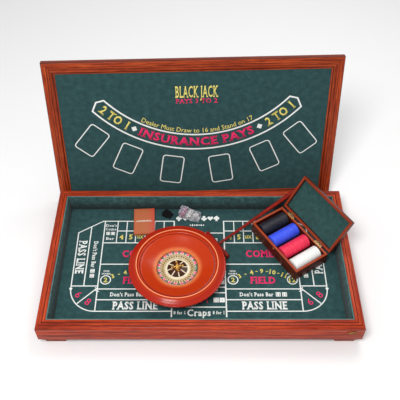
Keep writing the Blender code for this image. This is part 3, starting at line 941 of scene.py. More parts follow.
@dataclass(frozen=True)
class Plastic:
    """Moulded plastic; with a reed count its rim is grooved along the frame's Y axis, with painted
    shade at the seams between chips.
    """

    name: str
    colour: Colour
    shade: Colour
    rough: float = 0.35
    reeds: int = 0
    clear: float = 0.0

    def material(self, place: Matrix) -> bpy.types.Material:
        """The plastic's material.

        Args:
            place: The pattern's frame.

        Returns:
            The material.
        """
        recipe = Recipe(self.name)
        speck = recipe.noise(place, (1.1, 1.1, 1.1), 2, 0.6)
        cloud = recipe.noise(place, (11, 3.3, 11), 3, 0.6)
        relief, colour = speck * 0.3, recipe.blend(cloud.between(0.4, 0.75) * 0.6, self.colour,
                                                   self.shade)
        if self.reeds:
            here = recipe.local(place)
            angle = recipe.axis(here, "Z").maths("ARCTAN2", recipe.axis(here, "Z"),
                                                 recipe.axis(here, "X"))
            reed = (angle * float(self.reeds)).sine() * 0.5 + 0.5
            # Painted shade in the seams between neighbouring chips.
            chip_seam_shade = (recipe.axis(here, "Y") * (2 * math.pi / CHIP_PITCH)).sine() * 0.5 + 0.5
            colour = recipe.blend(chip_seam_shade.between(0.8, 1.0) * 0.5 + reed.between(0.7, 1.0) * 0.18,
                                  colour, self.shade)
            relief = relief + reed * 1.2
        return recipe.finish(Base_Color=colour, Roughness=self.rough + 0.12 * (speck - 0.5),
                             Coat_Weight=self.clear, Coat_Roughness=0.05,
                             Normal=recipe.bump(relief, 0.1, 0.5))


@dataclass(frozen=True)
class Paper:
    """Printed card: faint fibres, and another tint towards one side."""

    name: str
    colour: Colour
    side: Colour
    rough: float = 0.5
    leaves: float = 0.0

    def material(self, place: Matrix) -> bpy.types.Material:
        """The card's material; leaves is the pitch of a deck's edges in millimetres, or 0.

        Args:
            place: The pattern's frame.

        Returns:
            The material.
        """
        recipe = Recipe(self.name)
        here = recipe.local(place)
        fibre = recipe.noise(place, (1.6, 0.5, 0.5), 3, 0.6)
        cloud = recipe.noise(place, (14, 14, 14), 3, 0.6)
        tint = recipe.axis(here, "X").between(4, 30) * 0.75 + (cloud - 0.5) * 0.5
        colour = recipe.blend(tint, self.colour, self.side)
        relief = fibre * 0.4
        if self.leaves:
            sheet = (recipe.axis(here, "Z") * (2 * math.pi / self.leaves)).sine() * 0.5 + 0.5
            colour = recipe.blend(sheet.between(0.4, 1.0) * 0.4, colour, paint(150, 140, 125))
            relief = relief + sheet
        return recipe.finish(Base_Color=colour, Roughness=self.rough + 0.15 * (fibre - 0.5),
                             Normal=recipe.bump(relief, 0.08, 0.5))


@dataclass(frozen=True)
class Film:
    """Clear crinkled bag film."""

    name: str = "clear_bag_film"

    def material(self, place: Matrix) -> bpy.types.Material:
        """The film: mostly clear, milky along its creases.

        Args:
            place: The pattern's frame.

        Returns:
            The material.
        """
        recipe = Recipe(self.name)
        crease = recipe.noise(place, (9, 3, 5), 4, 0.6, 1.5)
        fine = recipe.noise(place, (2.5, 1.2, 2), 3, 0.7, 0.8)
        ridge = (1 - abs((crease - 0.5) * 17)).largest(0.0)
        bunched = 1 - recipe.axis(recipe.local(place), "X").between(-24, -2)
        milky = 0.03 + 0.5 * ridge + 0.1 * fine.between(0.58, 0.8) + 0.24 * bunched
        colour = recipe.blend(ridge, paint(104, 96, 128), paint(246, 246, 250))
        return recipe.finish(Base_Color=colour, Roughness=0.16 + 0.2 * fine, Alpha=milky,
                             Specular_IOR_Level=0.8, Normal=recipe.bump(crease + fine * 0.4, 0.9, 0.9))


@dataclass(frozen=True)
class Cloth:
    """Plain woven cloth."""

    name: str
    thread: Colour
    gap: Colour
    pitch: float = 0.7

    def material(self, place: Matrix) -> bpy.types.Material:
        """The cloth's material.

        Args:
            place: The pattern's frame.

        Returns:
            The material.
        """
        recipe = Recipe(self.name)
        here = recipe.local(place)
        turn = 2 * math.pi / self.pitch
        warp = (recipe.axis(here, "X") * turn).sine()
        weft = (recipe.axis(here, "Y") * turn).sine()
        weave = warp * weft * 0.5 + 0.5
        lint = recipe.noise(place, (3, 3, 3), 3, 0.6)
        colour = recipe.blend(weave * 0.6 + lint * 0.4, self.gap, self.thread)
        return recipe.finish(Base_Color=colour, Roughness=0.85, Specular_IOR_Level=0.15,
                             Sheen_Weight=0.04, Normal=recipe.bump(weave + lint, 0.15, 0.7))


# Each groove entry is a painted shade line in a rail's groove or step.
TRAY_WOOD = Wood("tray_cherry", paint(214, 84, 38), paint(166, 52, 24), paint(66, 15, 8),
                 grooves=((8.2, 1.5), (17.0, 0.7)))
TOP_WOOD = Wood("top_cherry", paint(204, 92, 42), paint(158, 56, 22), paint(64, 18, 9),
                grooves=((4.6, 2.4), (13.5, 1.0), (20.0, 0.8), (33.2, 1.2)))
# The box walls' top faces and the lid's rim face carry a painted highlight tone.
BOX_WOOD = Wood("box_cherry", paint(116, 44, 24), paint(80, 26, 14), paint(34, 10, 7),
                worn=(38.4, 39.4), worn_tone=paint(176, 70, 34))
LID_WOOD = Wood("lid_cherry", paint(116, 44, 24), paint(80, 26, 14), paint(34, 10, 7),
                worn=(1.4, 0.5), worn_tone=paint(160, 58, 28))
RAKE_WOOD = Wood("rake_cherry", paint(176, 38, 20), paint(136, 24, 12), paint(66, 11, 7), figure=0.35)
FOOT_WOOD = Wood("foot_cherry", paint(190, 88, 56), paint(150, 58, 32), paint(84, 26, 14))
PLYWOOD = Wood("birch_ply", paint(214, 182, 140), paint(190, 152, 108), paint(140, 104, 68), 0.0, 0.6)
TABLE_FELT = Felt("table_felt", paint(26, 52, 54), paint(42, 76, 77), paint(66, 102, 102))
# The liner felt has painted shade towards its foot and a painted highlight at its top.
LINER_FELT = Felt("liner_felt", paint(18, 28, 30), paint(50, 90, 90), paint(104, 150, 146), 30, 72)
CARD_FELT = Felt("card_game_felt", paint(26, 52, 54), paint(41, 75, 76), paint(64, 100, 100))
LID_FELT = Felt("lid_lining", paint(28, 54, 54), paint(44, 80, 78), paint(68, 106, 102))
CHIP_FLOCK = Felt("chip_tray_flock", paint(26, 12, 10), paint(52, 22, 16), paint(84, 40, 28))
# The bowl's inner colour and shine are painted highlights; its ball track tone is painted shade.
BOWL_LACQUER = Lacquer("bowl_lacquer", paint(240, 146, 84), paint(196, 57, 6), paint(172, 33, 8),
                       54, 113, paint(255, 156, 112), (110.6, 2.0, 45), (101.6, 2.2))
CONE_LACQUER = Lacquer("rotor_lacquer", paint(84, 42, 18), paint(58, 28, 15), paint(26, 12, 7), 12, 30)
NUMBER_CREAM = Plastic("number_cream", paint(236, 222, 196), paint(206, 180, 150), 0.4)
POCKET_CREAM = Plastic("pocket_cream", paint(226, 208, 168), paint(180, 150, 110), 0.42)
COLLAR_GILT = Plastic("collar_gilt", paint(238, 228, 198), paint(180, 156, 112), 0.36)
BRASS = Metal("brass", paint(232, 188, 104), paint(150, 108, 52))
HINGE_BRASS = Metal("hinge_brass", paint(170, 140, 96), paint(92, 66, 40))
BRONZE = Metal("plate_bronze", paint(168, 118, 54), paint(96, 62, 30))
STEEL = Metal("steel", paint(196, 196, 200), paint(130, 130, 134))


class Print(Enum):
    """Inks on the felts and the wheel."""

    WHITE = Ink("white_ink", paint(240, 242, 238), paint(150, 168, 166))
    PINK = Ink("pink_ink", paint(236, 44, 104), paint(140, 46, 80))
    YELLOW = Ink("yellow_ink", paint(238, 222, 118), paint(150, 150, 88))
    RED = Ink("red_ink", paint(196, 30, 44), paint(110, 34, 42))
    BLACK = Ink("black_ink", paint(16, 18, 20), paint(30, 44, 46))
    GREEN = Ink("green_ink", paint(30, 120, 66), paint(40, 90, 66))


def show(piece: Object, body: str, finish: bpy.types.Material,
         replaced: Sequence[str] = ()) -> Object:
    """Finish a settled piece and fix it to the frame.

    Args:
        piece: The piece, with its place in its mesh.
        body: The body that it rides on.
        finish: Its material.
        replaced: The CAD nodes that it stands for.

    Returns:
        The piece.
    """
    piece.data.materials.clear()
    piece.data.materials.append(finish)
    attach(piece, body)
    if replaced:
        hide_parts(*replaced)
    LOG.info("%s on %s: %d faces", piece.name, body, len(piece.data.polygons))
    return piece


def dress(node: str, finish: bpy.types.Material) -> None:
    """Give a CAD node that stays a better material.

    Args:
        node: Name of the CAD node.
        finish: Its material.
    """
    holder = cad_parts[node]
    if holder.material_slots:
        for place in holder.material_slots:
            place.material = finish
    else:
        holder.data.materials.append(finish)
    LOG.info("%s keeps its shape", node)


@dataclass
class Rails:
    """Four mitred rails round an opening, each for its own CAD node."""

    nodes: str
    ending: str
    body: str
    slot: str
    wood: Wood
    bevel: float = 0.25
    sharp: float = 35

    def build(self, outline: Sequence[Point], opening: Point, place: Matrix) -> None:
        """Make and dress the four rails.

        Args:
            outline: (outward, up) section of a rail.
            opening: Inner length and depth.
            place: Frame of the opening's middle.
        """
        for side, (run, spot) in four_sides(*opening).items():
            node, here = self.nodes.format(side), place @ spot
            rail = mitred(node + self.ending, outline, run)
            if self.bevel:
                ease(rail, self.bevel)
            show(smooth(settle(rail, here), self.sharp), self.body,
                 self.wood.cut(side, here), [node])


# ---- printing on felt ------------------------------------------------------------------------
@dataclass
class Printing:
    """Everything printed on one surface, gathered by ink and laid down together."""

    title: str
    parts: dict[Print, list[Object]] = field(default_factory=dict)

    def keep(self, ink: Print, part: Object, place: Matrix = Matrix.Identity(4)) -> None:
        """Settle a flat part at a place and file it under its ink."""
        self.parts.setdefault(ink, []).append(settle(part, place))

    def line(self, ink: Print, points: Sequence[Point], width: float = 3.0, closed: bool = False,
             layer: int = 0) -> None:
        """A printed line through points."""
        self.keep(ink, ribbon("stroke", points, width, closed, layer))

    def fill(self, ink: Print, outline: Sequence[Point], layer: int = 0) -> None:
        """A printed solid shape."""
        self.keep(ink, patch("solid", outline, layer))

    def words(self, ink: Print, text: str, centre: Point, height: float, width: float = 0.0,
              turn: float = 0.0, bold: float = 0.02, layer: int = 1) -> None:
        """A printed word or number about a centre."""
        self.keep(ink, lettering("letters", text, height, width, bold, height > 7),
                  move(*centre, layer * LAYER_STEP) @ spin_by(turn))

    def bowed(self, ink: Print, text: str, centre: Point, radius: float, middle: float,
              height: float, width: float = 0.0, bold: float = 0.02) -> None:
        """A word on an arc that sags below its centre, read from inside.

        Args:
            ink: The ink.
            text: What is written.
            centre: Centre of the arc.
            radius: Radius at the middle of the capitals.
            middle: Angle of the word's middle from straight down, in degrees.
            height: Height of the capitals.
            width: Length of the word along the arc, or 0.
            bold: Extra stroke weight.
        """
        letters = lettering("letters", text, height, width, bold, height > 16)

        def bend(p: Vector) -> Vector:
            """A point of the straight word on the arc.

            Args:
                p: A point of the plain shape.

            Returns:
                Its new place.
            """
            angle = math.radians(middle) + p.x / MM / radius
            reach = radius * MM - p.y
            return Vector((centre[0] * MM + reach * math.sin(angle),
                           centre[1] * MM - reach * math.cos(angle), LAYER_STEP * MM))

        self.keep(ink, shape_points(letters, bend))

    def die(self, centre: Point, spots: int, size: float = 13.0, turn: float = 0.0) -> None:
        """A printed die: a white square with its dark spots.

        Args:
            centre: Its middle.
            spots: Number of spots.
            size: Length of a side.
            turn: Its turn in degrees.
        """
        half = size / 2
        place = move(*centre, 2 * LAYER_STEP) @ spin_by(turn)
        square = patch("square", [(-half, -half), (half, -half), (half, half), (-half, half)])
        self.keep(Print.WHITE, square, place)
        step = size * 0.27
        for x, y in PIP_PLACES[spots]:
            self.keep(Print.BLACK, patch("spot", arc((x * step, y * step), size * 0.1, 0, 324, 9), 2),
                      place)

    def lay(self, place: Matrix, body: str) -> list[Object]:
        """Give every ink its thickness, put it on the surface and dress it.

        Args:
            place: Frame of the printed surface, with Z out of it.
            body: The body that it rides on.

        Returns:
            One piece for each ink.
        """
        made = []
        for ink, parts in self.parts.items():
            piece = join(f"{self.title}_{ink.name.lower()}_print", parts)
            modify(piece, "SOLIDIFY", thickness=INK_THICKNESS * MM, offset=1.0)
            settle(piece, place)
            made.append(show(piece, body, ink.value.material(place)))
        return made


PIP_PLACES: dict[int, list[Point]] = {
    1: [(0, 0)],
    2: [(-1, 1), (1, -1)],
    3: [(-1, 1), (0, 0), (1, -1)],
    4: [(-1, 1), (1, 1), (-1, -1), (1, -1)],
    5: [(-1, 1), (1, 1), (0, 0), (-1, -1), (1, -1)],
    6: [(-1, 1), (1, 1), (-1, 0), (1, 0), (-1, -1), (1, -1)],
}


def felt_sheet(name: str, size: Point, thickness: float, place: Matrix, wave: float = 0.0) -> Object:
    """A flat sheet of felt whose upper face is the frame's XY plane.

    Args:
        name: Name of the piece.
        size: Width and depth in millimetres.
        thickness: Thickness below the plane.
        place: Frame of its upper face.
        wave: Height of its faint unevenness.

    Returns:
        The settled sheet.
    """
    made = start(name, bpy.ops.mesh.primitive_grid_add, x_subdivisions=60, y_subdivisions=32, size=1)

    def lie(p: Vector) -> Vector:
        """A point of the unit grid on the sheet; its rim stays down.

        Args:
            p: A point of the plain shape.

        Returns:
            Its new place.
        """
        rim = min(1.0, 12 * (0.5 - max(abs(p.x), abs(p.y))))
        rise = wave * rim * (noise.noise(Vector((p.x * 9, p.y * 6, 0))) - 0.4)
        return Vector((p.x * size[0] * MM, p.y * size[1] * MM, rise * MM))

    shape_points(made, lie)
    modify(made, "SOLIDIFY", thickness=thickness * MM, offset=-1.0)
    return smooth(settle(made, place))


# ---- tray ------------------------------------------------------------------------------------
@dataclass
class Tray:
    """Shallow table tray: moulded rails, felt floor and liners, bracket feet and a plate."""

    length: float = 780
    depth: float = 408
    rail: float = 25
    base: float = 18
    rim: float = 80
    liner_top: float = 78.5
    foot: Point = (31, 23)
    foot_inset: float = 6
    line: float = 3.0
    middle: float = -3.0

    def build(self) -> None:
        """Make and dress the whole tray."""
        self.build_rails()
        self.build_floor()
        self.build_liners()
        self.build_feet()
        self.build_plate()
        self.print_layout()
        dress("bottom_panel", PLYWOOD.cut("bottom", TRAY))

    def rail_outline(self) -> list[Point]:
        """Section of a rail: grooved flat top, rounded nose and curled foot.

        Returns:
            (outward, up) points.
        """
        top, wide = self.rim, self.rail
        inner = [(0, self.base), (wide - 6, self.base)]
        curl = arc((wide - 6, self.base + 6), 6, -75, 0, 6)
        bead = [(wide, 60.4), (wide - 0.7, 59.9), (wide - 0.7, 59.1), (wide, 58.6)]
        nose = arc((wide - 8, top - 9.5), 8, 0, 84, 9)
        crest = [(17.2, top - 1.5), (16.9, top - 0.5), (16.2, top), (9.2, top), (8.8, top - 0.9),
                 (7.6, top - 0.9), (7.2, top), (0.7, top), (0, top - 0.7)]
        return inner + curl + bead[::-1] + nose + crest

    def build_rails(self) -> None:
        """Four mitred rails."""
        rails = Rails("tray_{}_rail", "_moulding", "tray", "tray_wood", TRAY_WOOD, 0.35)
        rails.build(self.rail_outline(), (self.length, self.depth), TRAY)

    def build_floor(self) -> None:
        """The printed felt on the bottom panel."""
        place = TRAY @ move(0, 0, FELT_TOP)
        size = (self.length - 2 * GAP, self.depth - 2 * GAP)
        felt = felt_sheet("table_felt", size, 1.0, place)
        show(felt, "tray", TABLE_FELT.material(place), ["craps_felt"])

    def liner_outline(self) -> list[Point]:
        """Section of a padded liner: thick at its foot, rolled over at its top.

        Returns:
            (outward, up) points.
        """
        face, brow = [], self.liner_top - 1.2
        for i in range(13):
            down = i / 12
            thick = 3 + 5 * down ** 1.5 + 0.9 * math.sin(math.pi * down)
            face.append((-GAP - thick, brow + (PLAY_FLOOR - brow) * down))
        return [(-GAP, PLAY_FLOOR), (-GAP, self.liner_top - 0.4), (-0.9, self.liner_top),
                (-2.2, self.liner_top)] + face

    def build_liners(self) -> None:
        """Four padded liners, with the slight unevenness of stretched cloth."""
        for side, (run, spot) in four_sides(self.length, self.depth).items():
            name = f"liner_{side}_pad"
            place = TRAY @ spot
            pad = mitred(f"liner_{side}_cushion", self.liner_outline(), run, 0.5,
                         cuts=int(run / 15))

            def puff(p: Vector) -> Vector:
                """Uneven padding on the face, none at the back.

                Args:
                    p: A point of the plain shape.

                Returns:
                    Its new place.
                """
                out = min(1.0, max(0.0, -p.y / MM / 3))
                lump = noise.noise(Vector((p.x * 22, p.z * 30, len(side))))
                return p + Vector((0, 0.55 * MM * lump * out, 0))

            settle(shape_points(pad, puff), place)
            show(smooth(pad, 50), "tray", LINER_FELT.material(TRAY), [name])

    def build_feet(self) -> None:
        """Bracket feet with a cut-back inner end."""
        long, wide = self.foot
        reach_x = self.length / 2 + self.rail - self.foot_inset
        reach_y = self.depth / 2 + self.rail - self.foot_inset
        for row, up in (("front", -1), ("back", 1)):
            for column, out in (("left", -1), ("right", 1)):
                name = f"foot_{row}_{column}"
                top = self.base - GAP
                outline = [(2 - long, 0), (long - 11, 0)] + arc((long, 0), 11, 180, 132, 5)
                outline += [(long, 9.5), (long, top), (-long, top), (-long, 3.4)]
                foot = rod(f"{name}_bracket", outline, -wide, wide)
                place = (TRAY @ move(out * (reach_x - long), up * (reach_y - wide))
                         @ Matrix.Scale(out, 4, (1, 0, 0)) @ spin_by(180) @ spin_by(90))
                settle(ease(foot, 0.9), place)
                show(smooth(foot), "tray", FOOT_WOOD.cut(f"{row}_{column}", TRAY), [name])

    def build_plate(self) -> None:
        """Blank oval plate with a raised rim and two pins on the front rail."""
        steps = 48
        plate = patch("oval_plate_brass", [(12 * math.cos(2 * math.pi * i / steps),
                                            6 * math.sin(2 * math.pi * i / steps))
                                           for i in range(steps)])
        with editing(plate):
            bpy.ops.mesh.extrude_region_move(TRANSFORM_OT_translate={"value": (0, 0, 1.2 * MM)})
            pick(plate, "faces", lambda face: face.calc_center_median().z > 1.1 * MM)
            bpy.ops.mesh.inset(thickness=0.8 * MM)
            bpy.ops.mesh.inset(thickness=0.25 * MM, depth=-0.35 * MM)
        tidy(plate)
        pins = [settle(turned("pin", [(0, 0.5), (0.9, 0.5), (0.8, 0.9), (0.4, 1.15), (0, 1.2)], 16,
                              False), move(x)) for x in (-9, 9)]
        plate = join("oval_plate_brass", [smooth(plate), *pins])
        place = TRAY @ move(384, -self.depth / 2 - self.rail - GAP, 57) @ spin_by(90, "X")
        show(settle(plate, place), "tray", BRONZE.material(place), ["oval_plate"])

    # the printed layout
    def both(self, offset: float) -> tuple[tuple[int, float], tuple[int, float]]:
        """Sign and position of a distance to the left and right of the layout's middle."""
        return (-1, self.middle - offset), (1, self.middle + offset)

    def print_layout(self) -> None:
        """The craps layout: lines, boxes, words and numbers."""
        sheet = Printing("craps")
        self.print_lines(sheet)
        self.print_middle(sheet)
        for side in (-1, 1):
            self.print_half(sheet, side)
        sheet.lay(TRAY @ move(0, 0, FELT_TOP + 0.02), "tray")

    def print_lines(self, sheet: Printing) -> None:
        """Every white line of the two mirrored halves.

        Args:
            sheet: Where they are printed.
        """
        white, centre = Print.WHITE, self.middle
        inner, main, second, outer = 72.5, 275.0, 313.0, 348.5
        for sign in (-1, 1):
            def at(offset: float, y: float, sign: int = sign) -> Point:
                """A point on this half."""
                return centre + sign * offset, y

            bend = [at(x - centre, y) for x, y in arc((centre + main, -79), 72, 0, -90, 14)]
            sheet.line(white, [at(inner, 150), at(280.5, 150), at(outer, 107.5), at(347, -79)] + bend
                       + [at(inner, -151)], self.line)
            for y, reach in ((114, 237), (71.5, main - 1), (-2, main - 1), (-82.5, main - 1),
                             (-116, main - 1)):
                sheet.line(white, [at(inner + 1, y), at(reach, y)], self.line, layer=1)
            sheet.line(white, [at(main, 148.8), at(main, -149.6)], self.line, layer=2)
            sheet.line(white, [at(second, 128), at(second, -72)], self.line, layer=2)
            sheet.line(white, [at(main + 1, -73), at(outer - 1, -73)], self.line, layer=1)
            sheet.line(white, [at(main + 1, -80), at(325, -128)], self.line, layer=1)
            for i in range(6):
                x = 237 - 27 * i
                sheet.line(white, [at(x, 148.8), at(x, 72.8)], 2.6, layer=2)
            sheet.line(white, [at(inner, 151), at(inner, -168.5)], 3.6, layer=3)
            sheet.line(white, [at(268, -84), at(282, -78)], 2.2, layer=3)
            sheet.line(white, [at(270, -90), at(284, -86)], 2.2, layer=4)
        for y in (106.5, -44.5, -77, -94.5, -138.5):
            sheet.line(white, [(centre - 72, y), (centre + 72, y)], self.line, layer=1)

    def print_middle(self, sheet: Printing) -> None:
        """The centre panel: a plain ornament for the title, odds with dice, and the bottom box.

        Args:
            sheet: Where it is printed.
        """
        white, pink, centre = Print.WHITE, Print.PINK, self.middle
        for k, suit in enumerate(("spade", "heart", "club", "diamond", "club", "heart", "spade")):
            self.print_suit(sheet, suit, (centre + (k - 3) * 18.5 - 3.5, 161), 8.6)
        for k in range(7):
            x, reach = centre - 6 + (k - 3) * 6.4, 4.4 if k % 2 else 2.6
            sheet.fill(white, [(x - 2.6, 135.5), (x, 135.5 + reach), (x + 2.6, 135.5),
                               (x, 135.5 - reach)])
        rows = ((-60.5, "10 to 1", (3, 3, 4, 4)), (-86, "8 to 1", (2, 2)),
                (-117, "15 to 1", (5, 6, 1, 1)), (31, "30 to 1", (6, 6, 1, 2)), (80, "7 to 1", (4, 3)))
        for y, odds, dice in rows:
            small = y == -86
            sheet.words(pink, odds, (centre - 2, y), 7 if small else 15, 26 if small else 52)
            for k, spots in enumerate(dice):
                side = -1 if k % 2 else 1
                x = centre + side * (46 + 16 * (k // 2))
                sheet.die((x, y), spots, 9 if small else 14)
        for spots, x in ((2, 60), (3, 44), (5, -60), (2, -44)):
            sheet.die((centre + x, 0), spots, 14)
        sheet.words(white, "Craps", (centre, -155), 19, 62, bold=0.03)
        for x in (-51.5, 51.5):
            sheet.words(white, "8 for 1", (centre + x, -155), 9, 31, bold=0.03)

    def print_suit(self, sheet: Printing, suit: str, centre: Point, half: float) -> None:
        """A filled card suit.

        Args:
            sheet: Where it is printed.
            suit: "diamond", "heart", "spade" or "club".
            centre: Its middle.
            half: Half its width.
        """
        def spot(x: float, y: float) -> Point:
            """A point given in half widths from the middle."""
            return centre[0] + x * half, centre[1] + y * half

        turns = [2 * math.pi * i / 32 for i in range(32)]
        heart = [(math.sin(a) ** 3, (13 * math.cos(a) - 5 * math.cos(2 * a) - 2 * math.cos(3 * a)
                                     - math.cos(4 * a)) / 15) for a in turns]
        stem = [(-0.42, -1.15), (0.42, -1.15), (0.1, -0.1), (-0.1, -0.1)]
        if suit == "diamond":
            sheet.fill(Print.WHITE, [spot(0.85, 0), spot(0, 1.2), spot(-0.85, 0), spot(0, -1.2)])
        elif suit == "heart":
            sheet.fill(Print.WHITE, [spot(x, y) for x, y in heart])
        elif suit == "spade":
            sheet.fill(Print.WHITE, [spot(x, 0.2 - y * 0.95) for x, y in heart])
            sheet.fill(Print.WHITE, [spot(x, y) for x, y in stem], 1)
        else:
            for layer, (x, y) in enumerate(((0, 0.6), (-0.5, -0.22), (0.5, -0.22))):
                sheet.fill(Print.WHITE, arc(spot(x, y), 0.48 * half, 0, 345, 23), layer)
            sheet.fill(Print.WHITE, [spot(x, y) for x, y in stem], 3)

    def print_half(self, sheet: Printing, side: int) -> None:
        """Words and numbers of one half.

        Args:
            sheet: Where they are printed.
            side: -1 for the left half, 1 for the right.
        """
        white, pink, yellow = Print.WHITE, Print.PINK, Print.YELLOW
        shift, pass_shift = (0.0, 0.0) if side > 0 else (-348.5, -344.0)
        sheet.words(pink, "COME", (168.5 + shift, 34), 22, 78, bold=0.034)
        sheet.words(pink, "FIELD", (171.5 + shift, -54.5), 20, 69, bold=0.034)
        for text, x, y, turn in (("3", 108, -41, 28), ("4", 142, -29, 14), ("9", 170, -24.5, 0),
                                 ("10", 200, -28, -12), ("11", 231, -38.5, -26)):
            sheet.words(yellow, text, (x + shift, y), 13, 0, turn, 0.025)
        for x, y in ((125, -35), (156, -26), (185, -26), (216, -32)):
            sheet.line(yellow, [(x - 3 + shift, y), (x + 3 + shift, y)], 2)
        for text, x in (("2", 90), ("12", 252.5)):
            ring = arc((x + shift, -53.5), 13.5, 0, 345, 23)
            sheet.line(white, ring, 2.8, True, layer=1)
            sheet.words(yellow, text, (x + shift, -53.5), 14, 0, bold=0.03)
            sheet.words(white, "PAYS", (x + shift, -25), 4.5, 16, bold=0.04)
            sheet.words(white, "DOUBLE", (x + shift, -33.5), 4.5, 24, bold=0.04)
        sheet.words(white, "Don't Pass Bar", (151.5 + shift, -99.5), 11, 91, bold=0.035)
        for k, spots in enumerate((6, 6)):
            sheet.die((210 + 17 * k + shift, -99.5), spots, 13)
        sheet.words(white, "PASS LINE", (171.5 + pass_shift, -133.5), 22, 121, bold=0.034)
        numbers = ("4", "5", "SIX", "8", "NINE", "10")
        for k, text in enumerate(numbers):
            x = self.middle + (-223.5 + 27 * k if side < 0 else 88.5 + 27 * k)
            wide = 19 if len(text) > 2 else 0
            sheet.words(yellow, text, (x, 92.5), 10 if wide else 16, wide, bold=0.02)
        bar_x = self.middle + side * 256
        for text, y, width in (("Don't", 134, 32), ("Come", 121, 31), ("Bar", 87, 24)):
            sheet.words(white, text, (bar_x, y), 8.5, width, bold=0.02)
        sheet.die((bar_x - 7, 105), 6, 11)
        sheet.die((bar_x + 7, 105), 6, 11)
        self.print_side_columns(sheet, side)

    def print_side_columns(self, sheet: Printing, side: int) -> None:
        """The columns that run down the tray's end, and the two corner numbers.

        Args:
            sheet: Where they are printed.
            side: -1 for the left half, 1 for the right.
        """
        white, turn = Print.WHITE, 90 * side
        x = self.middle + side * 331
        sheet.words(white, "PASS LINE", (x, 23), 21, 113, turn, 0.034)
        x = self.middle + side * 294.5
        sheet.words(white, "Don't Pass Bar", (x, 32), 11, 90, turn, 0.035)
        for k in (0, 1):
            sheet.die((x, -24 - 16 * k), 6, 12, turn)
        upper, lower = ("6", "8") if side < 0 else ("8", "6")
        sheet.words(Print.PINK, upper, (self.middle + side * 324, -100), 20, 0, 42 * side, 0.0)
        sheet.words(Print.PINK, lower, (self.middle + side * 296, -122), 20, 0, 30 * side, 0.0)


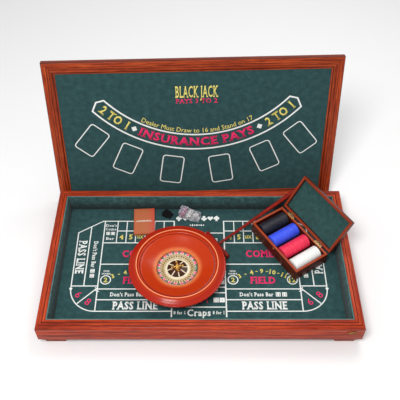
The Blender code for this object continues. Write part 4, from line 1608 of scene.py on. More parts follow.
# ---- reversible top --------------------------------------------------------------------------
@dataclass
class ReversibleTop:
    """Framed board: card game on one face, roulette on the other."""

    length: float = 820
    height: float = 453
    thick: float = 20
    rail: float = 34
    lean: float = 16.3
    turn: float = 2.1
    felt_depth: float = 4.7
    edge: float = 3
    foot: Point = (-12.5, 248)

    def __post_init__(self) -> None:
        """Work out the pose: it stands behind the tray on its back edge and leans back."""
        tilt = math.radians(self.lean)
        lift = (self.thick - self.edge) * math.sin(tilt) + self.edge * (1 - math.cos(tilt))
        self.pose = TRAY @ move(*self.foot, lift) @ spin_by(self.turn) @ spin_by(90 - self.lean, "X")
        self.opening = (self.length - 2 * self.rail, self.height - 2 * self.rail)

    def build(self) -> None:
        """Make and dress the whole top."""
        self.build_rails()
        self.build_felts()
        self.print_card_side()
        self.print_roulette_side()
        dress("top_core", PLYWOOD.cut("core", self.pose))

    def rail_outline(self) -> list[Point]:
        """Section of the frame moulding, alike on both faces.

        Returns:
            (outward, up) points.
        """
        half, wide = self.thick / 2, self.rail
        upper = [(0, half - 3.9), (0.5, half - 3.4), (3.4, half - 3.0), (4.4, half - 2.4),
                 (6.0, half - 1.2), (8.4, half - 0.25), (9.6, half), (12.6, half), (13.0, half - 0.7),
                 (14.0, half - 0.7), (14.4, half), (19.2, half), (19.6, half - 0.6),
                 (20.4, half - 0.6), (20.8, half), (wide - 4.2, half)]
        upper += arc((wide - 3, half - 3), 3, 78, 0, 6)
        lower = [(x, -y) for x, y in reversed(upper)]
        return [(x, y - half) for x, y in upper + lower]

    def build_rails(self) -> None:
        """Four mitred rails round the board."""
        rails = Rails("top_{}_rail", "_moulding", "top", "top_wood", TOP_WOOD, 0, 28)
        rails.build(self.rail_outline(), self.opening, self.pose @ move(0, self.height / 2))

    def build_felts(self) -> None:
        """A sheet of felt on each face."""
        size = (self.opening[0] - 2 * GAP, self.opening[1] - 2 * GAP)
        front = self.pose @ move(0, self.height / 2, -self.felt_depth)
        back = self.pose @ move(0, self.height / 2, self.felt_depth - self.thick) @ spin_by(180, "Y")
        for node, place in (("card_game_felt", front), ("roulette_felt", back)):
            felt = felt_sheet(f"{node}_sheet", size, 1.0, place)
            show(felt, "top", CARD_FELT.material(place), [node])

    def print_card_side(self) -> None:
        """Title, betting arc and six card boxes."""
        sheet = Printing("card_game")
        white, pink, yellow = Print.WHITE, Print.PINK, Print.YELLOW
        centre = (8.0, 580.9)
        sheet.words(yellow, "BLACK JACK", (7, 359.5), 33, 119, bold=0.012)
        sheet.words(pink, "PAYS 3 TO 2", (7, 332), 13, 117, bold=0.015)
        rim = arc(centre, 400.9, 223, 317, 48)
        tip = arc(centre, 374.5, 318.7, 318.8, 1)[:1]
        back = arc(centre, 354.4, 317, 223, 48)
        end = arc(centre, 374.5, 221.3, 221.4, 1)[:1]
        sheet.line(white, rim + tip + back + end, 4.5, True)
        sheet.bowed(yellow, "2 TO 1", centre, 377, -38.4, 25, 93, 0.03)
        sheet.bowed(yellow, "2 TO 1", centre, 377, 38.4, 25, 93, 0.03)
        sheet.bowed(pink, "INSURANCE PAYS", centre, 377, -0.5, 25, 338, 0.034)
        sheet.bowed(yellow, "Dealer Must Draw to 16 and Stand on 17", centre, 341, 0, 14, 326, 0.0)
        for angle in (-28.6, 28.2):
            turn = math.radians(angle)
            sheet.fill(white, [(centre[0] + (377 + v) * math.sin(turn + u),
                                centre[1] - (377 + v) * math.cos(turn + u))
                               for u, v in ((0.024, 0), (0, 9), (-0.024, 0), (0, -9))])
        for angle, reach in ((-39.5, 474), (-25.4, 474), (-9.1, 474), (8.5, 474), (24.8, 474),
                             (38.9, 478)):
            turn = math.radians(angle)
            middle = (centre[0] - 2 + reach * math.sin(turn), centre[1] - reach * math.cos(turn))
            corners = []
            for x, y, start_angle in ((23, 37, 0), (-23, 37, 90), (-23, -37, 180), (23, -37, 270)):
                corners += arc((x, y), 8, start_angle, start_angle + 90, 5)
            spots = [move(*middle) @ spin_by(angle) @ Vector((x * MM, y * MM, 0)) for x, y in corners]
            sheet.line(white, [(p.x / MM, p.y / MM) for p in spots], 3.0, True)
        sheet.lay(self.pose @ move(0, 0, 0.02 - self.felt_depth), "top")

    def print_roulette_side(self) -> None:
        """Twelve by three numbers, zeros, dozens, columns and the outside bets."""
        sheet = Printing("roulette")
        white, cell, tall, low = Print.WHITE, 46.0, 52.0, -58.0
        left = -6 * cell - 4
        for row in range(4):
            y = low + row * tall
            sheet.line(white, [(left, y), (left + 13 * cell, y)], 2.6, layer=1)
        for column in range(14):
            x = left + column * cell
            sheet.line(white, [(x, low - 1.3), (x, low + 3 * tall + 1.3)], 2.6, layer=2)
        sheet.line(white, [(left, low), (left - 34, low), (left - 52, low + 1.5 * tall),
                           (left - 34, low + 3 * tall), (left, low + 3 * tall)], 2.6)
        sheet.line(white, [(left - 52, low + 1.5 * tall), (left, low + 1.5 * tall)], 2.6, layer=1)
        for text, rise in (("0", 0.75), ("00", 2.25)):
            sheet.words(white, text, (left - 23, low + rise * tall), 18, 0, 90)
        for number in range(1, 37):
            column, row = divmod(number - 1, 3)
            middle = (left + (column + 0.5) * cell, low + (row + 0.5) * tall)
            ink = Print.RED if number in RED_NUMBERS else Print.BLACK
            oval = [(middle[0] + 16 * x, middle[1] + 20 * y) for x, y in arc((0, 0), 1, 0, 345, 23)]
            sheet.fill(ink, oval)
            sheet.words(white, str(number), middle, 14, 0, 90, 0.03, 3)
        for row in range(3):
            spot = (left + 12.5 * cell, low + (row + 0.5) * tall)
            sheet.words(white, "2 to 1", spot, 9, 34, 90, 0.03)
        outside = ((("1st 12", "2nd 12", "3rd 12"), 34.0, 0.0, 14),
                   (("1-18", "EVEN", "RED", "BLACK", "ODD", "19-36"), 38.0, 34.0, 13))
        for bets, height, drop, size in outside:
            wide = 12 * cell / len(bets)
            floor = low - drop - height
            sheet.line(white, [(left, floor), (left + 12 * cell, floor)], 2.6, layer=1)
            for k, text in enumerate(bets):
                ink = {"RED": Print.PINK, "BLACK": Print.BLACK}.get(text, Print.YELLOW)
                sheet.words(ink, text, (left + (k + 0.5) * wide, floor + height / 2), size, 0, 0, 0.03)
            for k in range(len(bets) + 1):
                x = left + k * wide
                sheet.line(white, [(x, low - drop), (x, floor - 1.3)], 2.6, layer=3)
        title = (left + 6 * cell, low + 3 * tall + 30)
        sheet.words(Print.YELLOW, "ROULETTE", title, 26, 250, bold=0.04)
        below = self.felt_depth - self.thick - 0.02
        back = self.pose @ move(0, self.height / 2 + 4, below) @ spin_by(180, "Y")
        sheet.lay(back, "top")


# ---- roulette wheel --------------------------------------------------------------------------
@dataclass
class RouletteWheel:
    """Turned bowl with a number rotor, its pockets and a four-armed turret."""

    pockets: int = 38
    band_low: Point = (46.0, 22.5)
    band_high: Point = (54.5, 24.5)

    def __post_init__(self) -> None:
        """Read the wheel's centre from its bowl."""
        low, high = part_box("wheel_bowl")
        self.place = Matrix.Translation(((low.x + high.x) / 2, (low.y + high.y) / 2, low.z))

    def build(self) -> None:
        """Make and dress the whole wheel."""
        self.build_bowl()
        self.build_rotor()
        self.build_numbers()
        self.build_pockets()
        self.build_turret()
        dress("spindle", STEEL.material(self.place))
        dress("rotor_bush", BRASS.material(self.place))

    def build_bowl(self) -> None:
        """Bowl: sloping rim, bright bead, ball track and a cone down to the rotor's well."""
        cone = [(57, 24.6), (57.6, 25.5), (60, 26.2), (68, 28.6), (77, 31.6), (86, 35.2), (93, 38.2),
                (98, 40.4), (100.2, 40.9)]
        track = [(102.2, 40.3), (104.2, 40.1), (106, 40.7), (107.3, 42.2)]
        bead = [(107.9, 45.2)] + arc((110.5, 46), 2.1, 165, 20, 9) + [(112.9, 45.8), (114, 44.6)]
        slope = [(119, 42.3), (125, 39.6), (129.4, 37.5)]
        lip = arc((129.5, 35), 2.5, 78, -40, 8)
        under = [(127, 26), (120, 14), (111, 6.5), (102, 2), (98, 0), (3.1, 0), (3.1, 8), (57, 8)]
        dished = [(x, z + 3 * (x - 57) / 60) for x, z in cone + track + bead + slope + lip]
        bowl = turned("wheel_bowl_turning", dished + under, 144)
        settle(bowl, self.place)
        lacquer = BOWL_LACQUER.material(self.place)
        show(smooth(bowl, 38), "wheel", lacquer, ["wheel_bowl"])

    def build_rotor(self) -> None:
        """Rotor: cone, recess for the pockets and the sloping number band."""
        cone = [(5.2, 25), (10, 25), (12, 24.8), (17, 23.0), (24, 20.6), (30, 18.9), (34, 18), (46, 18)]
        body = turned("rotor_cone", cone + [(46, 9.2), (5.2, 9.2)], 76)
        show(settle(body, self.place), "rotor", CONE_LACQUER.material(self.place),
             ["rotor_disc"])
        collar = turned("rotor_collar", [(27.8, 19.0), (27.8, 19.7), (28.3, 20.4), (29.2, 20.4),
                                         (34.0, 19.2), (34.7, 18.6), (34.7, 17.9)], 96)
        gilt = COLLAR_GILT.material(self.place)
        show(settle(collar, self.place), "rotor", gilt)
        ray = rod("ray", [(-1.5, 0), (1.5, 0), (1.1, 0.9), (-1.1, 0.9)], 0, 16.4)
        settle(ray, move(12, 0, 24.5) @ spin_by(18, "Y"))
        rays = repeat("rotor_rays", ray, [spin_by(45 * k + 12) for k in range(8)])
        show(settle(rays, self.place), "rotor", gilt)
        band = [(46.1, 22.4), (46.6, 22.75), (54.3, 24.5), (55.1, 24.4), (55.5, 23.5), (55.5, 9.2),
                (46.1, 9.2)]
        ring = turned("number_band", band, 152)
        show(settle(ring, self.place), "rotor", NUMBER_CREAM.material(self.place))

    def build_numbers(self) -> None:
        """Coloured number cells with their figures."""
        sheet = Printing("wheel_numbers")
        step = 360 / self.pockets
        slope = math.degrees(math.atan2(self.band_high[1] - self.band_low[1],
                                        self.band_high[0] - self.band_low[0]))
        low, high = 47.0, 53.8
        for k, number in enumerate(WHEEL_ORDER):
            ink = Print.PINK if number in RED_NUMBERS else Print.BLACK if number > 0 else Print.GREEN
            half = math.radians(step * 0.47)
            middle = 50.4
            place = (spin_by(k * step) @ move(middle, 0, 23.58) @ spin_by(-slope, "Y"))
            cell = [(low - middle, -low * half), (high - middle, -high * half),
                    (high - middle, high * half), (low - middle, low * half)]
            sheet.keep(ink, patch("cell", cell), place)
            text = "00" if number < 0 else str(number)
            sheet.keep(Print.WHITE, lettering("figure", text, 3.1, 0, 0.0),
                       place @ move(0, 0, INK_THICKNESS + 0.03) @ spin_by(-90))
        for radius, height, width in ((54.6, 24.52, 1.0), (46.9, 22.9, 0.5)):
            sheet.keep(Print.BLACK, ribbon("edge", arc((0, 0), radius, 0, 357, 119), width, True),
                       move(0, 0, height))
        sheet.lay(self.place, "rotor")

    def build_pockets(self) -> None:
        """Cream pocket floor and rim with thin brass frets."""
        section = [(35, 18.3), (35, 20.8), (35.7, 21.4), (36.6, 21.4), (37.2, 20.4), (37.4, 18.9),
                   (44.4, 18.9), (45.7, 20.6), (45.8, 22.0), (45.95, 22.0), (45.95, 18.3)]
        floor = turned("pocket_floor", section, 152)
        show(settle(floor, self.place), "rotor", POCKET_CREAM.material(self.place),
             ["pocket_ring"])
        fret = rod("fret", [(-0.35, 18.7), (0.35, 18.7), (0.2, 21.3), (-0.2, 21.3)], 36.9, 45.6)
        step = 360 / self.pockets
        frets = repeat("pocket_frets", fret, [spin_by((k + 0.5) * step) for k in range(self.pockets)])
        show(settle(frets, self.place), "rotor", BRASS.material(self.place))
        tabs = Printing("pocket_colours")
        half = math.radians(step * 0.17)
        for k, number in enumerate(WHEEL_ORDER):
            cell = [(38 * math.cos(a), 38 * math.sin(a)) for a in (-half, half)]
            cell += [(44 * math.cos(a), 44 * math.sin(a)) for a in (half, -half)]
            ink = Print.GREEN if number < 1 else Print.BLACK
            tabs.keep(ink, patch("tab", cell), spin_by(k * step) @ move(0, 0, 18.92))
        tabs.lay(self.place, "rotor")

    def build_turret(self) -> None:
        """Brass turret: turned post, four tapered arms with ball ends."""
        post_line = [(0, 17), (1.8, 16.7), (3.2, 15.6), (3.7, 14.2), (3.0, 12.8), (2.2, 12.1),
                     (3.6, 11.2), (4.0, 10.2), (3.2, 9.2), (3.0, 8.2), (5.2, 7.2), (5.8, 5.6),
                     (5.2, 4.1), (5.8, 3.2), (7.8, 2.2), (8.5, 1.2), (8.5, 0), (0, 0)]
        arm_line = [(0, 17.7), (1.8, 17.4), (2.9, 16.4), (3.2, 15), (2.9, 13.6), (1.9, 12.6),
                    (1.6, 12.1), (2.3, 11.5), (1.8, 10.7), (2.1, 7.5), (2.5, 4.5), (0, 4.5)]
        post = turned("post", post_line, 40, False)
        arm = turned("arm", arm_line, 20, False)
        settle(arm, move(0, 0, 5.5) @ spin_by(90, "Y"))
        arms = repeat("arms", arm, [spin_by(90 * k + 12) for k in range(4)])
        turret = join("turret_casting", [post, arms])
        settle(turret, self.place @ move(0, 0, 25.3))
        show(turret, "rotor", BRASS.material(self.place), ["turret"])


# ---- chip box --------------------------------------------------------------------------------
@dataclass
class ChipBox:
    """Hinged box with four rows of chips, open at rest."""

    centre: Point = (250, 59)
    turn: float = -57
    length: float = 202
    width: float = 110
    height: float = 40
    wall: float = 7
    lid_depth: float = 14
    lid_open: float = 125
    lid_gap: float = 2
    hinge_out: float = 1.9
    chip_radius: float = 19.5
    seed: int = 7

    def __post_init__(self) -> None:
        """Set up the box's and the lid's frames; the lid's lies on the hinge axis."""
        self.place = TRAY @ move(*self.centre, PLAY_FLOOR) @ spin_by(self.turn)
        back = self.width / 2 + self.hinge_out
        self.axis = self.place @ move(0, back, self.height + self.lid_gap / 2)
        self.lid = (self.axis @ spin_by(-self.lid_open, "X")
                    @ move(0, -back, self.lid_gap / 2))
        self.opening = (self.length - 2 * self.wall, self.width - 2 * self.wall)

    def build(self) -> None:
        """Make and dress the box, its lid, chips and hinges."""
        self.build_walls()
        self.build_lid()
        self.build_chips()
        self.build_hardware()

    def build_walls(self) -> None:
        """Mitred walls with a bead under their rim."""
        high, wide = self.height, self.wall
        outline = [(0, 0.4), (0.4, 0), (wide - 1, 0), (wide, 1), (wide, high - 5.2),
                   (wide - 0.5, high - 4.8), (wide - 0.5, high - 4.2), (wide, high - 3.8),
                   (wide, high - 1), (wide - 1, high), (0.8, high), (0, high - 0.8)]
        walls = Rails("box_{}_wall", "_rail", "chip_box", "box_wood", BOX_WOOD)
        walls.build(outline, self.opening, self.place)
        dress("chip_insert", CHIP_FLOCK.material(self.place))

    def build_lid(self) -> None:
        """Lid: mitred rails, panel and felt lining."""
        deep, wide = self.lid_depth, self.wall
        outline = [(0, 0.8), (0.8, 0), (wide - 0.6, 0), (wide, 0.6), (wide, deep - 2.2),
                   (wide - 0.6, deep - 0.8), (wide - 2, deep), (0, deep)]
        rails = Rails("lid_{}_rail", "_moulding", "chip_lid", "box_wood", LID_WOOD)
        rails.build(outline, self.opening, self.lid)
        size = (self.opening[0] - 2 * GAP, self.opening[1] - 2 * GAP)
        panel = block("lid_panel_board", (*size, 4), 0)
        with editing(panel):
            pick(panel, "faces", lambda face: face.normal.z > 0.9)
            bpy.ops.mesh.inset(thickness=7 * MM)
            bpy.ops.mesh.inset(thickness=2.5 * MM, depth=-1.2 * MM)
        settle(panel, self.lid @ move(0, 0, deep - 2))
        show(panel, "chip_lid", LID_WOOD.cut("panel", self.lid), ["lid_panel"])
        inside = self.lid @ move(0, 0, deep - 5.3) @ spin_by(180, "X")
        lining = felt_sheet("lid_felt_lining", size, 1.0, inside, 0.5)
        show(lining, "chip_lid", LID_FELT.material(inside), ["lid_felt"])

    def build_chips(self) -> None:
        """Four rows of separate chips on edge."""
        draw = random.Random(self.seed)
        bay = (self.length - 2 * self.wall - 2 * GAP - 12) / 4
        colours = {
            "black": Plastic("chip_black", paint(12, 12, 20), paint(60, 62, 76), 0.42, 24),
            "blue": Plastic("chip_blue", paint(72, 104, 255), paint(34, 50, 200), 0.42, 24),
            "red": Plastic("chip_red", paint(255, 58, 96), paint(204, 28, 62), 0.42, 24),
            "white": Plastic("chip_white", paint(253, 253, 250), paint(222, 224, 222), 0.42, 24),
        }
        for k, (colour, finish) in enumerate(colours.items()):
            chip = start("chip", bpy.ops.mesh.primitive_circle_add, vertices=30, fill_type="NGON",
                         radius=self.chip_radius * MM)
            with editing(chip):
                bpy.ops.mesh.extrude_region_move(
                    TRANSFORM_OT_translate={"value": (0, 0, (CHIP_PITCH - 0.12) * MM)})
            ease(tidy(chip), 0.55, 1)
            x = -self.length / 2 + self.wall + GAP + bay / 2 + k * (bay + 4)
            row = self.place @ move(x, 0, 4 + GAP + self.chip_radius)
            places = []
            for i in range(CHIP_COUNT):
                stray = (draw.uniform(-0.3, 0.3), draw.uniform(-0.05, 0.35))
                places.append(move(stray[0], -43 + CHIP_PITCH * i, stray[1])
                              @ spin_by(draw.uniform(-0.5, 0.5), "X") @ spin_by(-90, "X")
                              @ spin_by(draw.uniform(0, 12)))
            chips = settle(repeat(f"{colour}_chips", chip, places), row)
            show(smooth(chips, 50), f"{colour}_row", finish.material(row),
                 [f"chips_{colour}"])

    def build_hardware(self) -> None:
        """Brass on the hinges, their screws, and a small catch plate at the front."""
        for side in ("left", "right"):
            for part in ("box", "lid"):
                dress(f"hinge_{side}_{part}_leaf", HINGE_BRASS.material(self.axis))
        screw = turned("screw", [(0, 0.62), (0.9, 0.55), (1.5, 0.2), (1.6, 0), (0, 0)], 20, False)
        places = [move(x + dx, -self.hinge_out - 3.2, -0.38) for x in (-60, 60) for dx in (-9, 9)]
        screws = repeat("hinge_screws", screw, places)
        show(settle(screws, self.axis), "chip_box", HINGE_BRASS.material(self.axis))
        section = [(0, 1.1), (1.3, 1.0), (1.8, 0.5), (3.6, 0.5), (4.0, 0), (0, 0)]
        hook = turned("catch_plate", section, 28, False)
        front = self.place @ move(0, -self.width / 2, self.height - 9) @ spin_by(90, "X")
        show(settle(hook, front), "chip_box", BRASS.material(front))


# ---- rake ------------------------------------------------------------------------------------
@dataclass
class Rake:
    """Stick with a flat head, lying over the back rail."""

    head: Point = (49.4, 57.6)
    turn: float = 34.4
    blade: tuple[float, float, float] = (10, 101, 17)
    reach: float = 305
    neck: float = 3.4
    end: float = 6.8
    rest: float = 6.4

    def build(self) -> None:
        """Make and dress the head and the handle."""
        height = PLAY_FLOOR + self.blade[2] / 2 + 1
        run = (Tray.depth / 2 - self.head[1]) / math.sin(math.radians(self.turn))
        rise = Tray.rim + GAP + self.rest * 1.04 - height
        place = (TRAY @ move(*self.head, height) @ spin_by(self.turn)
                 @ spin_by(-math.degrees(math.atan2(rise, run)), "Y"))
        head = block("rake_head_blade", self.blade, 1.6, 4)
        settle(head, place)
        show(head, "rake", RAKE_WOOD.cut("head", place, 90), ["rake_head"])
        low = self.blade[0] / 2 + GAP
        growth = (self.end - self.neck) / (self.reach - low)
        body = [(self.neck + growth * (z - low), z) for z in (low + 1, 60, 120, 180, 240, 290)]
        tip = [(x * self.end, self.reach - 5 + 5 * y) for x, y in arc((0, 0), 1, 0, 90, 8)]
        stick = turned("rake_stick", [(0, low), (self.neck - 0.7, low), *body, *tip], 32, False)
        settle(stick, place @ spin_by(90, "Y"))
        show(stick, "rake", RAKE_WOOD.cut("stick", place), ["rake_handle"])


# ---- cards -----------------------------------------------------------------------------------
@dataclass
class CardPack:
    """Tuck box of playing cards with a plain line ornament."""

    size: tuple[float, float, float] = (60.5, 92.5, 9.0)
    centre: Point = (-163, 144)
    turn: float = 3

    def build(self) -> None:
        """Make and dress the box, its print and the deck."""
        place = TRAY @ move(*self.centre, PLAY_FLOOR) @ spin_by(self.turn)
        wide, long, high = self.size
        box = start("card_tuck_box", bpy.ops.mesh.primitive_cube_add, size=1)
        shape_points(box, lambda p: Vector((p.x * wide, p.y * long, (p.z + 0.5) * high)) * MM)
        with editing(box):
            pick(box, "faces", lambda face: face.normal.y > 0.9)
            bpy.ops.mesh.delete(type="FACE")
        ease(box, 0.5, 3)
        tidy(box)
        modify(box, "SOLIDIFY", thickness=0.55 * MM, offset=-1.0)
        flap = block("flap", (wide - 3, 0.5, high - 2), 0.2, 2)
        settle(flap, move(0, long / 2 - 0.5, high / 2))
        box = settle(join("card_tuck_box", [smooth(box), flap]), place)
        paper = Paper("card_box_paper", paint(184, 100, 58), paint(202, 68, 48))
        show(box, "card_pack", paper.material(place), ["card_box"])
        self.print_ornament(place)
        dress("card_deck", Paper("deck_edges", paint(240, 238, 230), paint(226, 222, 212), 0.6,
                                 0.3).material(place))

    def print_ornament(self, place: Matrix) -> None:
        """Plain lines across the middle of the box and a thin border.

        Args:
            place: The box's frame.
        """
        sheet = Printing("card_box")
        wide, long, high = self.size
        for reach, y in ((20, 1.6), (24, -1.6)):
            dashes = [-reach + 4 * k for k in range(int(reach / 2))]
            for x in dashes:
                sheet.line(Print.WHITE, [(x, y), (x + 2.6, y)], 1.7)
        x, y = wide / 2 - 3, long / 2 - 3
        sheet.line(Print.RED, [(-x, -y), (x, -y), (x, y), (-x, y)], 0.5, True)
        sheet.lay(place @ move(0, 0, high + 0.01), "card_pack")


# ---- dice ------------------------------------------------------------------------------------
@dataclass
class DiceBag:
    """Five dice in a crumpled clear bag."""

    size: tuple[float, float, float] = (64, 32, 24)
    centre: Point = (-29, 168.5)
    turn: float = -22
    die: float = 14
    spots: tuple[tuple[float, float, float, str], ...] = (
        (-21, -7.7, 4, "red"), (-21, 7.7, -4, "red"), (-3, -7.6, 5, "white"), (-2, 7.7, 3, "white"),
        (17, 3, -20, "white"))

    def build(self) -> None:
        """Make and dress the dice and their bag."""
        place = TRAY @ move(*self.centre, PLAY_FLOOR) @ spin_by(self.turn)
        kinds = {
            "red": (Plastic("die_red", paint(226, 20, 100), paint(170, 8, 66), 0.12, clear=0.6),
                    paint(244, 240, 240)),
            "white": (Plastic("die_white", paint(240, 238, 232), paint(214, 210, 200), 0.2, clear=0.5),
                      paint(22, 20, 24)),
        }
        rolls = ((0, 0), (90, 0), (0, 90), (180, 0), (0, -90))
        for k, ((x, y, turn, colour), roll) in enumerate(zip(self.spots, rolls), start=1):
            seat = place @ move(x, y, 0.5 + GAP + self.die / 2) @ spin_by(turn)
            tilt = spin_by(roll[0], "X") @ spin_by(roll[1], "Y")
            cube = settle(block(f"die_{k}_cube", (self.die - 0.3,) * 3, 1.7, 4), tilt)
            plastic, spot_colour = kinds[colour]
            slot, shade = f"{colour}_dice", plastic.material(seat)
            show(settle(cube, seat), "dice_pack", shade, [f"die_{k}"])
            marks = settle(self.build_spots(f"die_{k}_spots"), seat @ tilt)
            paint_on = Ink(f"die_{k}_spot_paint", spot_colour, spot_colour)
            show(marks, "dice_pack", paint_on.material(seat))
        self.build_bag(place)

    def build_spots(self, name: str) -> Object:
        """Domed spots on all six faces; opposite faces add up to seven.

        Args:
            name: Name of the piece.

        Returns:
            The spots of one die.
        """
        half = self.die / 2 - 0.15
        faces = ((1, Matrix.Identity(4)), (6, spin_by(180, "X")), (2, spin_by(90, "X")),
                 (5, spin_by(-90, "X")), (3, spin_by(90, "Y")), (4, spin_by(-90, "Y")))
        dot = turned("dot", [(0, 0.12), (0.9, 0.08), (1.35, 0), (1.1, -0.2), (0, -0.2)], 14, False)
        places = [face @ move(x * 3.6, y * 3.6, half) for count, face in faces
                  for x, y in PIP_PLACES[count]]
        return repeat(name, dot, places)

    def build_bag(self, place: Matrix) -> None:
        """The bag: a lofted shell, open at one end, that sags between the dice.

        Args:
            place: The bag's frame.
        """
        wide, deep, high = self.size
        bag = start("crumpled_dice_bag", bpy.ops.mesh.primitive_cube_add, size=1)
        with editing(bag):
            pick(bag, "faces", lambda face: face.normal.x > 0.9)
            bpy.ops.mesh.delete(type="FACE")
            bpy.ops.mesh.select_mode(type="VERT")
            bpy.ops.mesh.select_all(action="SELECT")
            bpy.ops.mesh.subdivide(number_cuts=26)

        def sag(p: Vector) -> Vector:
            """A point of the crumpled bag.

            Args:
                p: A point of the plain shape.

            Returns:
                Its new place.
            """
            along = p.x + 0.5
            rise = p.z + 0.5
            mouth = max(0.0, (along - 0.72) / 0.28)
            tail = max(0.0, (0.4 - along) / 0.4)
            top = 0.74 + 0.26 * math.sqrt(tail)
            pinch = 1 - 0.18 * mouth - 0.1 * rise
            y = p.y * pinch * deep * 0.98
            z = rise * top * high
            fold = noise.noise(Vector((p.x * 5, p.y * 7, p.z * 4 + 3)))
            crease = noise.noise(Vector((p.x * 13 + p.y * 6, p.y * 15, p.z * 9)))
            lift = (2.2 * fold + 1.3 * crease) * min(1.0, rise * 3)
            z = max(0.25 + 0.02 * rise, z + lift)
            return Vector((p.x * wide * 0.985 + 0.6 * crease, y + 0.8 * crease * rise,
                           min(z, high - 0.3))) * MM

        shape_points(bag, sag)
        tidy(bag, 0.01)
        modify(bag, "SMOOTH", iterations=2, factor=0.4)
        modify(bag, "SOLIDIFY", thickness=0.12 * MM, offset=-1.0)
        settle(bag, place)
        show(smooth(bag, 60), "dice_pack", Film().material(place), ["dice_bag"])


# ---- pouch -----------------------------------------------------------------------------------
@dataclass
class Pouch:
    """Small black drawstring pouch, lying slack on the felt."""

    size: tuple[float, float, float] = (36, 28, 10)
    centre: Point = (-96, 173)
    turn: float = -35
    scale: float = 10.0

    def build(self) -> None:
        """Model the pouch with a gathered neck, let its cloth settle, and lay it on the felt."""
        place = TRAY @ move(*self.centre, PLAY_FLOOR) @ spin_by(self.turn)
        wide, deep, high = self.size
        pouch = start("drawstring_pouch", bpy.ops.mesh.primitive_cube_add, size=1)
        with editing(pouch):
            bpy.ops.mesh.subdivide(number_cuts=11)

        def fold(p: Vector) -> Vector:
            """A point of the empty pouch: round ends, a gathered neck and a frilled mouth.

            Args:
                p: A point of the plain shape.

            Returns:
                Its new place.
            """
            along = p.x + 0.5
            neck = 1 - 0.55 * math.exp(-((along - 0.78) / 0.07) ** 2)
            side = math.sqrt(max(0.0, 1 - (2 * p.x) ** 6))
            puff = 0.5 + 0.5 * side * math.sqrt(max(0.0, 1 - (1.5 * p.y) ** 2 * 0.9))
            ruff = 0.06 * math.sin(p.y * 40) * max(0.0, along - 0.7)
            return Vector((p.x * wide * 0.94, p.y * deep * 0.9 * (0.55 + 0.45 * side) * neck,
                           (p.z * 0.86 * neck * puff + ruff) * high)) * MM

        shape_points(pouch, fold)
        self.settle_cloth(pouch)
        lowest = min(v.co.z for v in pouch.data.vertices)
        shape_points(pouch, lambda p: Vector((p.x, p.y, max(p.z - lowest, 0.05 * MM))))
        modify(pouch, "SUBSURF", levels=1, render_levels=1)

        def crease(p: Vector) -> Vector:
            """Fine wrinkles, and none where the cloth lies on the felt."""
            return p + Vector((0, 0, 0.6 * MM * noise.noise(p * 260) * min(1, p.z / MM / 3)))

        settle(shape_points(pouch, crease), place)
        cloth = Cloth("pouch_cloth", paint(15, 15, 18), paint(3, 3, 4))
        show(smooth(pouch, 80), "pouch", cloth.material(place), ["cloth_pouch"])

    def settle_cloth(self, pouch: Object) -> None:
        """Blow the cloth up a little and let it wrinkle, at a larger scale for steadiness.

        Args:
            pouch: The pouch at its real size.
        """
        shape_points(pouch, lambda p: p * self.scale)
        before = [v.co.copy() for v in pouch.data.vertices]
        take(pouch)
        cloth = pouch.modifiers.new("cloth", "CLOTH")
        cloth.settings.use_pressure = True
        cloth.settings.uniform_pressure_force = 1.5
        cloth.settings.quality = 5
        cloth.settings.effector_weights.gravity = 0.0
        cloth.settings.tension_stiffness = 8
        cloth.settings.shrink_min = 0.04
        scene = bpy.context.scene
        for number in range(1, 16):
            scene.frame_set(number)
        bpy.ops.object.modifier_apply(modifier=cloth.name)
        scene.frame_set(1)
        limit = 12 * MM
        for old, corner in zip(before, pouch.data.vertices):
            step = corner.co - old
            if step.length > limit:
                corner.co = old + step.normalized() * limit
        shape_points(pouch, lambda p: p / self.scale)


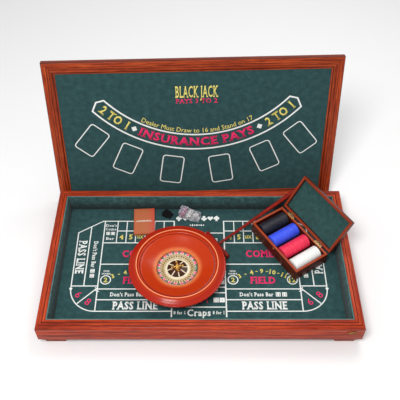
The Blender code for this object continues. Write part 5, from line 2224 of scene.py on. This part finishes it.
# ---- room ------------------------------------------------------------------------------------
@dataclass
class Studio:
    """Camera, soft lights and a pale floor."""

    lens: float = 55.8
    eye: tuple[float, float, float] = (-6.0, -976.7, 1468.0)
    pitch: float = 49.99
    yaw: float = -0.3
    roll: float = 0.24

    def build(self) -> None:
        """Set up the view, the light and the floor."""
        self.build_camera()
        self.build_light()
        self.build_floor()

    def build_camera(self) -> None:
        """The camera, turned down by its pitch, then by yaw and roll."""
        data = bpy.data.cameras.new("camera")
        data.lens = self.lens
        data.sensor_width = 36.0
        data.clip_start, data.clip_end = 0.05, 30.0
        camera = bpy.data.objects.new("camera", data)
        bpy.context.scene.collection.objects.link(camera)
        turn = spin_by(self.yaw) @ spin_by(90 - self.pitch, "X") @ spin_by(self.roll)
        camera.matrix_world = TRAY @ move(*self.eye) @ turn
        bpy.context.scene.camera = camera

    def add_area(self, name: str, spot: tuple[float, float, float], size: float, power: float,
                 colour: Point | tuple = (1, 1, 1)) -> None:
        """A square soft light aimed at the tray.

        Args:
            name: Name of the light.
            spot: Its place in metres.
            size: Side length in metres.
            power: Power in watts.
            colour: Its colour.
        """
        data = bpy.data.lights.new(name, "AREA")
        data.size = size
        data.energy = power
        data.color = colour
        light = bpy.data.objects.new(name, data)
        bpy.context.scene.collection.objects.link(light)
        light.location = spot
        aim = Vector((0, 0, 0.1)) - light.location
        light.rotation_euler = aim.to_track_quat("-Z", "Y").to_euler()

    def build_light(self) -> None:
        """A white surround, a key light from the front and a fill from behind."""
        world = bpy.data.worlds.new("surround")
        bpy.context.scene.world = world
        world.use_nodes = True
        world.node_tree.nodes["Background"].inputs["Color"].default_value = (1, 1, 1, 1)
        world.node_tree.nodes["Background"].inputs["Strength"].default_value = 0.5
        self.add_area("key", (-0.5, -1.1, 2.2), 0.7, 34)
        self.add_area("top", (0.6, 0.9, 1.9), 1.0, 12)
        bpy.context.scene.view_settings.view_transform = "Standard"

    def build_floor(self) -> None:
        """A wide, flat pale floor."""
        floor = start("studio_floor", bpy.ops.mesh.primitive_grid_add, x_subdivisions=24,
                      y_subdivisions=24, size=14)
        shape_points(floor, lambda p: Vector((p.x, p.y, 0.0)))
        recipe = Recipe("studio_floor_paint")
        cloud = recipe.noise(Matrix.Identity(4), (900, 900, 900), 2, 0.5)
        floor.data.materials.append(recipe.finish(
            Base_Color=recipe.blend(cloud * 0.3, (0.95, 0.95, 0.95, 1), (0.93, 0.93, 0.93, 1)),
            Roughness=0.9))


def main() -> None:
    """Build every assembly in order."""
    logging.basicConfig(level=logging.INFO, format="%(message)s")
    Studio().build()
    for assembly in (Tray(), ReversibleTop(), RouletteWheel(), ChipBox(), Rake(), CardPack(), DiceBag(),
                     Pouch()):
        LOG.info("building %s", type(assembly).__name__)
        assembly.build()
    take()
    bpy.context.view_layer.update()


if __name__ == "__main__":
    main()
